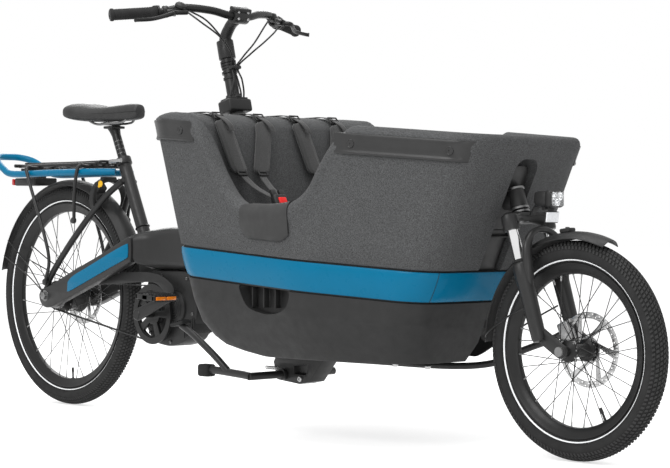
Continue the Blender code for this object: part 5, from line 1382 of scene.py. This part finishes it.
def rear_frame():
    """Beam over the motor, seat tube and collar, chainstays, seat stays, axle nuts and welds."""
    rows = [(0.385, 0.455, 0.512, 0.098), (0.425, 0.440, 0.528, 0.092), (0.470, 0.424, 0.540, 0.062),
            (0.540, 0.4225, 0.546, 0.046), (0.657, 0.4225, 0.539, 0.040), (0.760, 0.412, 0.524, 0.036),
            (0.880, 0.392, 0.505, 0.033)]
    low = smooth_route([(x, bottom, 0) for x, bottom, top, w in rows], 6)
    high = smooth_route([(top, w, 0) for x, bottom, top, w in rows], 6)
    solids = [loft([beam_section(a.x, max(a.y, 0.4225) if 0.45 < a.x < 0.68 else a.y, b.x, b.y)
                    for a, b in zip(low, high)])]
    solids.append(rod(seat_line(0.500), seat_line(0.7465), SEAT_TUBE_R, sides=48))
    solids.append(rod(seat_line(0.731), seat_line(0.7515), 0.0235, edge=0.002, sides=48))
    for side in BOTH:
        y = side * STAY_Y
        outer = soft_outline([(-0.034, 0.340), (-0.030, 0.320), (-0.014, 0.304), (0.010, 0.300),
                              (0.052, 0.310), (0.145, 0.343), (0.240, 0.377), (0.340, 0.413),
                              (0.416, 0.442), (0.428, 0.452), (0.428, 0.510), (0.418, 0.518),
                              (0.402, 0.515), (0.340, 0.490), (0.270, 0.462), (0.200, 0.437),
                              (0.130, 0.411), (0.060, 0.383), (0.000, 0.361), (-0.024, 0.356)], 4)
        solids.append(plate([outer], STAY_THICK, y, 0.0045))
        solids.append(rod((0, side * 0.020, REAR_AXLE.z), (0, side * 0.080, REAR_AXLE.z), 0.0078))
        solids.append(sweep([(-0.012, y, 0.352), (0.006, y, 0.392), (0.080, y * 0.94, 0.474),
                             (0.160, y * 0.78, 0.560), (0.232, y * 0.50, 0.638),
                             seat_line(0.690, side * 0.012)], SEAT_STAY_R, 28, 8))
        solids.append(bead((-0.008, y, 0.358), (0.35, 0, 0.94), SEAT_STAY_R))
        solids.append(bead(seat_line(0.682, side * 0.022, -0.012), (0.62, -side * 0.35, 0.70), SEAT_STAY_R))
    solids.append(bead(seat_line(0.545), seat_line(0.6) - seat_line(0.5), SEAT_TUBE_R, 0.0035))
    piece("rear_frame_welded", solids, PAINT, "frame", ["rear_frame"], 36)
    nuts, tensioners = [], []
    for side in BOTH:
        seat = (0, side * 0.0975, REAR_AXLE.z)
        nuts.append(turned([(0.0, 0.014), (0.0060, 0.0135), (0.0092, 0.012), (0.0122, 0.0105),
                            (0.0122, 0.0)], seat, (0, side, 0), 6))
        nuts.append(turned([(0.0, 0.0022), (0.0170, 0.0022), (0.0175, 0.0)], seat, (0, side, 0), 40))
        tensioners.append(rod((-0.036, side * 0.0835, 0.331), (-0.0445, side * 0.0835, 0.329), 0.0042,
                              sides=20))
    piece("rear_axle_nuts", nuts, DARK_STEEL, "frame", sharp=25)
    piece("chain_tensioners", tensioners, STEEL, "frame")
    label = [seat_line(z, -0.0006, -0.0192) for z in (0.570, 0.625)]
    piece("seat_tube_plate", ribbon(label, 0.014, 0.0006, spans=2), ALLOY, "frame")
    for name, side in SIDES:
        inlay = soft_outline([(0.117, 0.352), (0.180, 0.372), (0.240, 0.394), (0.330, 0.427),
                              (0.408, 0.455), (0.417, 0.466), (0.417, 0.492), (0.408, 0.497),
                              (0.340, 0.474), (0.270, 0.447), (0.205, 0.422), (0.150, 0.401),
                              (0.120, 0.380)], 5)
        y = side * (STAY_Y + STAY_THICK / 2 + 0.0013)
        piece("inlay_" + name, plate([inlay], 0.0030, y, 0.0010), BLUE, "frame", ["stay_inlay_" + name], 50)


def front_frame():
    """Column head tube, rail under the floor, front post with its cable guide, and fork head."""
    head = rod(on_column(0.244), on_column(0.862), 0.025, sides=48)
    rail = loft([beam_section(x, 0.2385, 0.2680, 0.030, 6) for x in (0.925, 1.620)])
    post = loft([post_section(z, narrow=n) for z, n in (
        (0.2385, 0.0), (0.430, 0.0), (0.565, 0.0), (0.672, 0.0), (0.682, 0.0015), (0.689, 0.005),
        (0.694, 0.011), (0.6962, 0.018))])
    fork_head = rod(on_fork(-0.004, 0), on_fork(0.050, 0), 0.021, edge=0.002, sides=48)
    neck = sweep([on_fork(0.040, -0.046), on_fork(0.030, -0.028), on_fork(0.020, -0.010)],
                 [0.027, 0.024, 0.019], 32, 8)
    piece("front_frame_welded", [head, rail, post, fork_head, neck], PAINT, "frame", ["front_frame"], 36)
    guide = Vector((1.772, 0.0, 0.545))
    ribs = [block(guide + to_top(0.016 * k), (0.018, 0.084, 0.004), 0.0015, math.radians(-25))
            for k in (-1, 0, 1)]
    ribs.append(block(guide + to_front(-0.004), (0.010, 0.080, 0.044), 0.003, math.radians(-25)))
    piece("cable_guide", ribs, PLASTIC, "frame")
    piece("head_bearings", [turned([(0.0205, 0.0), (0.0232, -0.001), (0.0232, -0.006), (0.0205, -0.007)],
                                   on_fork(h, 0), FORK_UP, 48, True) for h in (0.0035, 0.0525)],
          DARK_STEEL, "frame")


# ---------------------------------------------------------------- drive
def motor():
    """Motor housing with its round ribbed cover, crank seals, fins and bolts."""
    case = soft_outline([(0.422, 0.330), (0.420, 0.300), (0.428, 0.250), (0.462, 0.214), (0.500, 0.205),
                         (0.540, 0.204), (0.590, 0.214), (0.622, 0.234), (0.655, 0.290), (0.656, 0.330),
                         (0.653, 0.370), (0.628, 0.410), (0.600, 0.4205), (0.550, 0.4212), (0.500, 0.4212),
                         (0.452, 0.4205), (0.432, 0.395), (0.425, 0.365)], 4)
    solids = [plate([case], 0.076, 0.0, 0.008)]
    cover = Vector((0.5640, 0.0, 0.3150))
    for side in BOTH:
        solids.append(turned([(0.0, 0.0480), (0.030, 0.0480), (0.042, 0.0465), (0.046, 0.0440),
                              (0.0475, 0.0375)], cover, (0, side, 0), 64))
        solids.append(turned([(0.0105, 0.0465), (0.0260, 0.0465), (0.0290, 0.0440), (0.0300, 0.0375),
                              (0.0105, 0.0375)], BOTTOM_BRACKET, (0, side, 0), 48, True))
    for i in range(7):
        x = 0.602 + 0.0072 * i
        solids.append(block((x, 0.0, 0.250 + 0.0035 * i), (0.0024, 0.080, 0.040), 0.0009))
    piece("motor_housing", solids, PLASTIC, "frame", ["motor"], 34)
    ribs = [turned([(r + 0.0011, 0.0484), (r + 0.0006, 0.0494), (r - 0.0006, 0.0494), (r - 0.0011, 0.0484)],
                   cover, (0, side, 0), 64, True) for r in (0.012, 0.019, 0.026, 0.033) for side in BOTH]
    piece("motor_cover_rings", ribs, TRIM, "frame")
    bolts = [bolt((x, side * 0.0380, z), (0, side, 0), 0.0045, 0.004) for side in BOTH
             for x, z in ((0.446, 0.240), (0.540, 0.216), (0.640, 0.300), (0.615, 0.400), (0.500, 0.408),
                          (0.436, 0.370))]
    piece("motor_bolts", bolts, DARK_STEEL, "frame")


def belt_drive():
    """Toothed belt and its guard."""
    first, second = (REAR_AXLE.x, REAR_AXLE.z), (BOTTOM_BRACKET.x, BOTTOM_BRACKET.z)
    inner = round_both(first, 0.0421, second, 0.0804, 96)
    outer = round_both(first, 0.0450, second, 0.0833, 96)
    piece("belt_run", plate([outer, inner], BELT_WIDTH + 0.0004, BELT_Y, 0.0004), HOSE, "frame", ["belt"])
    teeth = []
    route = inner + inner[:1]
    pitch, spare = 0.011, 0.0
    for (x1, z1), (x2, z2) in zip(route, route[1:]):
        reach = math.hypot(x2 - x1, z2 - z1)
        while spare < reach:
            t = spare / reach
            angle = math.atan2(z2 - z1, x2 - x1)
            teeth.append(block((x1 + (x2 - x1) * t, BELT_Y, z1 + (z2 - z1) * t),
                               (0.0045, BELT_WIDTH - 0.0002, 0.0014), 0.0, angle, segments=1))
            spare += pitch
        spare -= reach
    piece("belt_teeth", teeth, HOSE, "frame")
    guard = soft_outline([(0.224, 0.374), (0.226, 0.394), (0.274, 0.405), (0.360, 0.413), (0.443, 0.4165),
                          (0.500, 0.4135), (0.537, 0.405), (0.575, 0.386), (0.591, 0.364), (0.566, 0.346),
                          (0.536, 0.368), (0.500, 0.386), (0.430, 0.386), (0.330, 0.379)], 5)
    piece("belt_cover", plate([guard], 0.004, -0.0655, 0.0012), PLASTIC, "frame", ["belt_guard"])


def toothed(x, z, tip, root, count):
    """Outline of a belt wheel: two points on each tip and two in each gap."""
    points = []
    for i in range(count):
        a = math.tau * i / count
        r = tip if (i // 2) % 2 else root
        points.append((x + r * math.cos(a), z + r * math.sin(a)))
    return points


def sprocket():
    """Rear belt sprocket with its teeth and lightening holes."""
    loops = [toothed(0.0, REAR_AXLE.z, 0.0411, 0.0396, 96), circle(0.0, REAR_AXLE.z, 0.0199, 40)]
    loops += [circle(0.0305 * math.cos(a), REAR_AXLE.z + 0.0305 * math.sin(a), 0.0055, 16)
              for a in [math.tau * k / 6 for k in range(6)]]
    piece("belt_sprocket", plate(loops, BELT_WIDTH, BELT_Y, 0.0004), DARK_STEEL, "sprocket",
          ["rear_sprocket"])


CRANK_LENGTH, CRANK_Y, CRANK_ANGLE = 0.165, 0.110, math.radians(20.0)


def cranks():
    """Forged arms, chainring with its spider and flange, axle caps and pedals."""
    reach = to_left(CRANK_Y + 0.004)
    arms = [rod(BOTTOM_BRACKET - reach, BOTTOM_BRACKET + reach, 0.0095)]
    for (name, side), turn in zip(SIDES, (0.0, math.pi)):
        angle = CRANK_ANGLE + turn
        boss = BOTTOM_BRACKET + to_left(side * CRANK_Y)
        eye = boss + Vector((math.cos(angle), 0.0, math.sin(angle))) * CRANK_LENGTH
        arms.append(plate([round_both(flat(boss), 0.0180, flat(eye), 0.0128, 56)], 0.0130, boss.y, 0.0040))
        arms.append(turned([(0.0, 0.0045), (0.0125, 0.0045), (0.0155, 0.002), (0.0160, -0.012)],
                           boss + to_left(side * 0.0040), (0, side, 0), 40))
        arms.append(rod(eye, eye + to_left(side * 0.094), 0.0055))
        pedal(name, eye, side)
    piece("crank_arms", arms, PAINT_DARK, "crank", ["crankset"], 36)
    x, z = flat(BOTTOM_BRACKET)
    loops = [toothed(x, z, 0.0794, 0.0778, 184)]
    for i in range(5):
        start = math.tau * i / 5 + 0.2
        loops.append(circle(x, z, 0.0660, 14, start, math.radians(52))
                     + circle(x, z, 0.0300, 6, start + math.radians(44), math.radians(-36)))
    ring = [plate(loops, BELT_WIDTH, BELT_Y, 0.0005),
            turned([(0.0690, -0.0062), (0.0872, -0.0062), (0.0875, -0.0075), (0.0872, -0.0088),
                    (0.0690, -0.0088)], BOTTOM_BRACKET + to_left(BELT_Y), (0, 1, 0), 96, True)]
    piece("chainring", ring, PAINT_DARK, "crank", sharp=28)


def pedal(name, eye, side):
    """Platform pedal: body with two side plates, rubber treads, end cap and orange reflectors."""
    middle = eye + to_left(side * 0.055)
    lean = math.radians(-4)
    turn = Matrix.Rotation(-lean, 3, "Y")

    def at(x, y, z):
        return middle + turn @ Vector((x, side * y, z))

    body = [block(at(0, 0, 0), (0.030, 0.084, 0.020), 0.005, lean)]
    for x in (-0.0375, 0.0375):
        body.append(block(at(x, 0, 0), (0.012, 0.084, 0.016), 0.003, lean))
    for y in (-0.038, 0.0, 0.038):
        body.append(block(at(0, y, 0), (0.086, 0.008, 0.014), 0.002, lean))
    piece("pedal_body_" + name, body, PLASTIC, name + "_pedal", ["pedal_" + name])
    treads = []
    for x in (-0.0375, -0.008, 0.008, 0.0375):
        for i in range(9):
            for z in (-1, 1):
                treads.append(block(at(x, -0.034 + 0.0085 * i, z * (0.0098 if abs(x) < 0.02 else 0.0088)),
                                    (0.009, 0.005, 0.0030), 0.0010, lean, segments=1))
    piece("pedal_treads_" + name, treads, GRIP, name + "_pedal")
    reflectors = [block(at(x, y, 0), (0.0022, 0.034, 0.0095), 0.0008, lean)
                  for x in (-0.0441, 0.0441) for y in (-0.0185, 0.0185)]
    piece("pedal_reflectors_" + name, reflectors, ORANGE_REFLEX, name + "_pedal")


# ---------------------------------------------------------------- saddle, rack, lights, lock, stand
def saddle():
    """Saddle with a pressure channel, its seams and rails, post with scale marks and clamp lever."""
    rows = [(0.349, 0.009, 0.902, 0.880), (0.342, 0.020, 0.910, 0.868), (0.310, 0.025, 0.913, 0.864),
            (0.255, 0.032, 0.911, 0.863), (0.205, 0.045, 0.909, 0.864), (0.160, 0.063, 0.912, 0.864),
            (0.120, 0.080, 0.919, 0.866), (0.085, 0.086, 0.923, 0.870), (0.062, 0.077, 0.921, 0.876),
            (0.049, 0.047, 0.914, 0.886)]
    first = smooth_route([(x, w, 0) for x, w, top, bottom in rows], 5)
    second = smooth_route([(top, bottom, 0) for x, w, top, bottom in rows], 5)
    rings = []
    for a, b in zip(first, second):
        ring = []
        for k in range(40):
            turn = math.tau * k / 40
            u = math.copysign(abs(math.cos(turn)) ** 0.75, math.cos(turn))
            v = math.sin(turn)
            height = b.x - b.y
            lift = (0.45 + 0.55 * abs(v) ** 0.8) if v > 0 else 0.45 * (1 - abs(v) ** 0.5)
            dip = 0.0030 * math.exp(-(u / 0.14) ** 2) if v > 0 and 0.07 < a.x < 0.29 else 0.0
            ring.append(Vector((a.x, a.y * u, b.y + height * lift - dip)))
        rings.append(ring)
    cover = piece("saddle_cover", loft(rings), SADDLE, "seat", ["saddle"], 70)
    seam = [(a.x, a.y * 0.97 + 0.0006, b.y + (b.x - b.y) * 0.50) for a, b in zip(first, second)][2:-1]
    seams = [sweep([(x, y * side, z) for x, y, z in seam], 0.0009, 8, 1) for side in BOTH]
    piece("saddle_seams", seams, GRIP, "seat")
    rails = [sweep([(0.318, side * 0.008, 0.884), (0.290, side * 0.017, 0.862),
                    (0.262, side * 0.021, 0.8570), (0.230, side * 0.022, 0.8565),
                    (0.160, side * 0.022, 0.8570), (0.120, side * 0.030, 0.874),
                    (0.098, side * 0.036, 0.890)], 0.0035, 16, 8) for side in BOTH]
    rails.append(block((0.2035, 0.0, 0.8565), (0.040, 0.052, 0.008), 0.002))
    piece("saddle_rails", rails, DARK_STEEL, "seat")
    post = [rod(seat_line(0.560), seat_line(0.838), 0.0137, sides=48),
            sweep([seat_line(0.822), seat_line(0.838), seat_line(0.846)], [0.0137, 0.0170, 0.0200], 32, 6),
            block(seat_line(0.8455), (0.044, 0.050, 0.008), 0.003)]
    piece("post_tube", post, PAINT_DARK, "seat", ["seatpost"])
    marks = [turned([(0.01372, 0.0003), (0.01385, 0.0), (0.01372, -0.0003)], seat_line(0.765 + 0.012 * i),
                    seat_line(0.9) - seat_line(0.8), 32, True) for i in range(4)]
    piece("post_marks", marks, STEEL, "seat")
    hinge = Vector((0.2445, -0.0315, 0.742))
    lever = [sweep([hinge + to_front(-0.004), hinge + Vector((0.018, -0.005, 0.001)),
                    hinge + Vector((0.040, -0.004, 0.002)), hinge + Vector((0.052, -0.001, 0.003))],
                   [0.0050, 0.0045, 0.0038, 0.0050], 20, 8, 1.3),
             rod(hinge + to_top(0.006), hinge - to_top(0.006), 0.0060, edge=0.001)]
    piece("clamp_lever", lever, ALLOY, "seat_clamp", ["seat_clamp_lever"])
    piece("clamp_bolt", [rod((0.2445, -0.0285, 0.742), (0.2445, 0.026, 0.742), 0.0036, sides=20)], STEEL,
          "frame")


DECK_Z, DECK_TUBE_R, RAIL_Y = 0.7285, 0.0055, 0.085


def rack():
    """Carrier: blue rail with its tail loop, black deck and struts, and the elastic straps."""
    half = [seat_line(0.711, -0.026, -0.021), (0.225, -0.055, 0.711), (0.165, -RAIL_Y, 0.711),
            (0.000, -RAIL_Y, 0.711), (-0.190, -RAIL_Y, 0.711), (-0.250, -0.082, 0.728),
            (-0.305, -0.070, 0.756), (-0.338, -0.042, 0.768), (-0.347, 0.0, 0.770)]
    piece("carrier_rail", sweep(symmetric(half), 0.0105, 28, 8), BLUE, "frame", ["rack_rail"])
    tubes = []
    for x_foot, z_foot, x_mid, z_mid, x_top in ((0.004, 0.378, 0.024, 0.470, -0.105),
                                                (0.152, 0.566, 0.158, 0.630, 0.168)):
        hoop = [(x_foot, -0.100, z_foot), (x_mid, -0.104, z_mid),
                (x_top + (x_mid - x_top) * 0.2, -0.104, 0.690), (x_top, -0.094, DECK_Z),
                (x_top, -0.060, DECK_Z), (x_top, 0.0, DECK_Z)]
        tubes.append(sweep(symmetric(hoop), 0.0052, 20, 8))
        for side in BOTH:
            tubes.append(rod((x_foot, side * 0.0975, z_foot), (x_foot, side * 0.106, z_foot), 0.0095,
                             edge=0.001))
    for y in (-0.046, 0.0, 0.046):
        tubes.append(rod((0.195, y, 0.736), (-0.215, y, 0.736), DECK_TUBE_R, edge=0.001, sides=20))
    tubes.append(rod((-0.205, -0.070, 0.737), (-0.205, 0.070, 0.737), DECK_TUBE_R, edge=0.001, sides=20))
    for x in (-0.150, -0.030, 0.060):
        tubes.append(rod((x, -0.082, 0.7240), (x, 0.082, 0.7240), 0.0042, sides=16))
    piece("carrier_deck", tubes, PAINT, "frame", ["rack_deck"])
    straps = [ribbon([(0.185, y, 0.7440), (0.060, y * 1.05, 0.7436), (-0.100, y * 1.05, 0.7436),
                      (-0.208, y * 0.7, 0.7445)], 0.011, 0.0024) for y in (-0.020, 0.020)]
    straps.append(ribbon([(0.150, 0.0, 0.7470), (0.0, 0.004, 0.7462), (-0.200, 0.0, 0.7470)], 0.011,
                         0.0024))
    piece("carrier_straps", straps, WEBBING, "frame")
    piece("carrier_hooks", [block((x, 0.0, 0.7445), (0.016, 0.056, 0.007), 0.003) for x in (0.188, -0.206)],
          PLASTIC, "frame")


def tail_light():
    """Rear lamp under the deck: housing with its bracket, lens and side covers."""
    low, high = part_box("tail_light")
    centre = (low + high) / 2 - to_front(DATUM_X)
    size = high - low
    piece("tail_housing", [block(centre + to_front(0.008), (size.x - 0.018, size.y - 0.004, size.z), 0.005),
                           block(centre + Vector((0.020, 0, 0.016)), (0.050, 0.030, 0.010), 0.002)],
          PLASTIC, "frame", ["tail_light"])
    piece("tail_lens", block(centre - to_front(size.x / 2 - 0.005), (0.009, size.y - 0.006, size.z - 0.004),
                             0.003), RED_REFLEX, "frame")
    piece("tail_side_covers", [block(centre + Vector((-0.006, side * (size.y / 2 - 0.0016), 0)),
                                     (0.070, 0.002, 0.012), 0.0008) for side in BOTH], TRIM, "frame")


def rear_guard():
    """Rear mudguard with its stays."""
    shell = guard_shell(REAR_AXLE, REAR_GUARD_R, math.radians(20), math.radians(148), 96)
    piece("rear_guard_shell", shell, PLASTIC, "frame", ["rear_fender"], 40)
    stays = []
    for side in BOTH:
        for angle in (151, 160):
            a = math.radians(angle)
            top = REAR_AXLE + Vector((0.344 * math.cos(a), side * 0.0335, 0.344 * math.sin(a)))
            middle = top * 0.5 + Vector((-0.006, side * 0.036, 0.172))
            line = [(-0.010, side * 0.1000, 0.348), middle, top + to_front(0.004)]
            stays.append(sweep(line, 0.0020, 10, 8))
    piece("rear_guard_stays", stays, PAINT_DARK, "frame")


def ring_lock():
    """Frame lock: horseshoe body, lock cylinder and key."""
    rings = []
    for i in range(49):
        a = math.radians(-25 + 230 * i / 48)
        ring = []
        for u, v in ((-1, -0.6), (-0.8, -1), (0.8, -1), (1, -0.6), (1, 0.6), (0.8, 1), (-0.8, 1), (-1, 0.6)):
            r = 0.0590 + 0.0069 * v
            ring.append(Vector((0.190 + 0.010 * u, r * math.cos(a), 0.630 + r * math.sin(a))))
        rings.append(ring)
    piece("lock_body", [loft(rings), block((0.190, 0.0, 0.6905), (0.026, 0.046, 0.014), 0.004)], PLASTIC,
          "frame", ["ring_lock"], 40)
    piece("lock_key", [block((0.1980, -0.050, 0.6560), (0.046, 0.0030, 0.0085), 0.0012, math.radians(46)),
                       turned([(0.0, 0.0022), (0.0085, 0.0022), (0.0100, 0.0), (0.0085, -0.0022),
                               (0.0, -0.0022)], (0.2170, -0.050, 0.6757), (0, 1, 0), 32)], YELLOW, "frame")
    piece("lock_cylinder", [block((0.194, -0.036, 0.664), (0.026, 0.034, 0.030), 0.005, math.radians(46))],
          PLASTIC, "frame")


STAND_AXIS = Vector((1.020, 0.0, 0.150))
STAND_LEG_Y, FOOT_LEVER_Y, STAND_TUBE_R = 0.150, -0.162, 0.0105


def stand():
    """Stand bracket with bolts, cross tube, legs with shoes, foot lever and the pull springs."""
    opening = [(1.060, 0.152), (1.060, 0.174), (1.116, 0.180), (1.106, 0.152)]
    outline_points = [(0.990, 0.134), (0.975, 0.181), (1.005, 0.2380), (1.060, 0.2380), (1.085, 0.200),
                      (1.130, 0.200), (1.178, 0.2380), (1.178, 0.198), (1.120, 0.134), (1.080, 0.126)]
    piece("stand_mount", plate([outline_points, opening], 0.056, 0.0, 0.002), PAINT, "frame",
          ["stand_bracket"])
    bolts = [bolt((x, side * 0.0280, z), (0, side, 0), 0.0075, 0.005) for side in BOTH
             for x, z in ((1.020, 0.215), (1.158, 0.212), (1.085, 0.140))]
    piece("stand_bolts", bolts, STEEL, "frame")
    reach = to_left(STAND_LEG_Y + 0.005)
    solids = [rod(STAND_AXIS - reach, STAND_AXIS + reach, STAND_TUBE_R, edge=0.001)]
    shoes, springs = [], []
    for side in BOTH:
        y = side * STAND_LEG_Y
        solids.append(sweep([(1.022, y, 0.150), (0.990, y, 0.153), (0.900, y, 0.158), (0.846, y, 0.160)],
                            STAND_TUBE_R, 24, 6))
        solids.append(turned([(STAND_TUBE_R, 0.006), (0.0150, 0.005), (0.0155, 0.0), (0.0150, -0.005),
                              (STAND_TUBE_R, -0.006)], STAND_AXIS + to_left(side * 0.034), (0, 1, 0), 32,
                             True))
        shoes.append(block((0.838, y, 0.157), (0.044, 0.034, 0.034), 0.007))
        coil = []
        for i in range(97):
            t = i / 96
            a = math.tau * 12 * t
            y = side * 0.0415 + 0.0045 * math.cos(a)
            coil.append((0.960 + 0.050 * t, y, 0.166 + 0.0045 * math.sin(a)))
        springs.append(sweep(coil, 0.0009, 6, 1))
    solids.append(sweep([(0.928, -STAND_LEG_Y, 0.160), (0.880, -0.158, 0.200), (0.800, FOOT_LEVER_Y, 0.250),
                         (0.745, FOOT_LEVER_Y, 0.276)], 0.0095, 20, 8))
    piece("stand_legs", solids, PAINT, "stand", ["kickstand"])
    shoes.append(block((0.740, FOOT_LEVER_Y, 0.281), (0.056, 0.034, 0.009), 0.003, math.radians(12)))
    shoes += [block((0.722 + 0.009 * i, FOOT_LEVER_Y, 0.2835 + 0.0019 * i), (0.003, 0.032, 0.004), 0.001,
                    math.radians(12), segments=1) for i in range(5)]
    piece("stand_shoes", shoes, GRIP, "stand")
    piece("stand_springs", springs, STEEL, "stand")


def damper_link():
    """Damper plate under the front of the tub, with its two nuts."""
    piece("damper_plate", block((1.535, -0.060, 0.2045), (0.130, 0.016, 0.004), 0.001), PAINT_DARK, "frame")
    piece("damper_nuts", [turned([(0.0, 0.003), (0.006, 0.003), (0.008, 0.001), (0.008, -0.006)],
                                 (x, -0.060, 0.199), (0, 0, -1), 6) for x in (1.478, 1.592)],
          STEEL, "frame", sharp=25)


rear_frame()
front_frame()
motor()
belt_drive()
sprocket()
cranks()
saddle()
rack()
tail_light()
rear_guard()
ring_lock()
stand()
damper_link()


# ---------------------------------------------------------------- floor, light and camera
def area_light(name, place, target, size, watts):
    """A soft rectangular studio light aimed at a point."""
    light = bpy.data.lights.new(name, "AREA")
    light.shape = "RECTANGLE"
    light.size, light.size_y = size
    light.energy = watts
    holder = bpy.data.objects.new(name, light)
    holder.location = place
    holder.rotation_euler = (Vector(target) - Vector(place)).to_track_quat("-Z", "Y").to_euler()
    bpy.context.scene.collection.objects.link(holder)


def studio():
    """Pale floor, even surroundings and four soft lights."""
    floor_mesh = bpy.data.meshes.new("studio_floor")
    ground = bmesh.new()
    bmesh.ops.create_grid(ground, x_segments=1, y_segments=1, size=30.0)
    ground.to_mesh(floor_mesh)
    ground.free()
    floor = bpy.data.objects.new("studio_floor", floor_mesh)
    floor.location = (0.0, 0.0, -0.0006)
    look = Nodes("floor_paint", grey(0.60), 0.90, Emission_Color=(1.0, 1.0, 1.0, 1.0),
                 Emission_Strength=0.5)
    look.colours(look.noise(2.0), grey(0.590), grey(0.610), 0.3, 0.7)
    floor_mesh.materials.append(look.material)
    bpy.context.scene.collection.objects.link(floor)
    world = bpy.data.worlds.new("studio")
    world.use_nodes = True
    world.node_tree.nodes["Background"].inputs["Color"].default_value = (1.0, 1.0, 1.0, 1.0)
    world.node_tree.nodes["Background"].inputs["Strength"].default_value = 1.0
    bpy.context.scene.world = world
    bpy.context.scene.view_settings.view_transform = "Standard"
    area_light("key", (0.6, -3.4, 3.0), (0.2, 0.0, 0.4), (2.0, 2.0), 90.0)
    area_light("front", (3.6, -2.6, 0.9), (0.9, 0.0, 0.5), (1.2, 1.2), 18.0)
    area_light("top", (0.2, -0.6, 4.2), (0.2, 0.0, 0.4), (3.0, 2.0), 120.0)
    area_light("rear", (-3.0, 2.2, 2.8), (-0.3, 0.0, 0.5), (2.5, 2.0), 60.0)


def camera():
    """The photograph's standpoint: low, from the bicycle's front right."""
    lens = bpy.data.cameras.new("camera")
    lens.sensor_width = 36.0
    lens.lens = 107.80
    lens.shift_x = 0.0024
    lens.shift_y = -0.0413
    lens.clip_end = 100.0
    holder = bpy.data.objects.new("camera", lens)
    holder.location = (5.0804 + DATUM_X, -3.6418, 0.5653)
    holder.rotation_euler = (math.pi / 2 + 0.00713, 0.0, 0.81907)
    bpy.context.scene.collection.objects.link(holder)
    bpy.context.scene.camera = holder


studio()
camera()
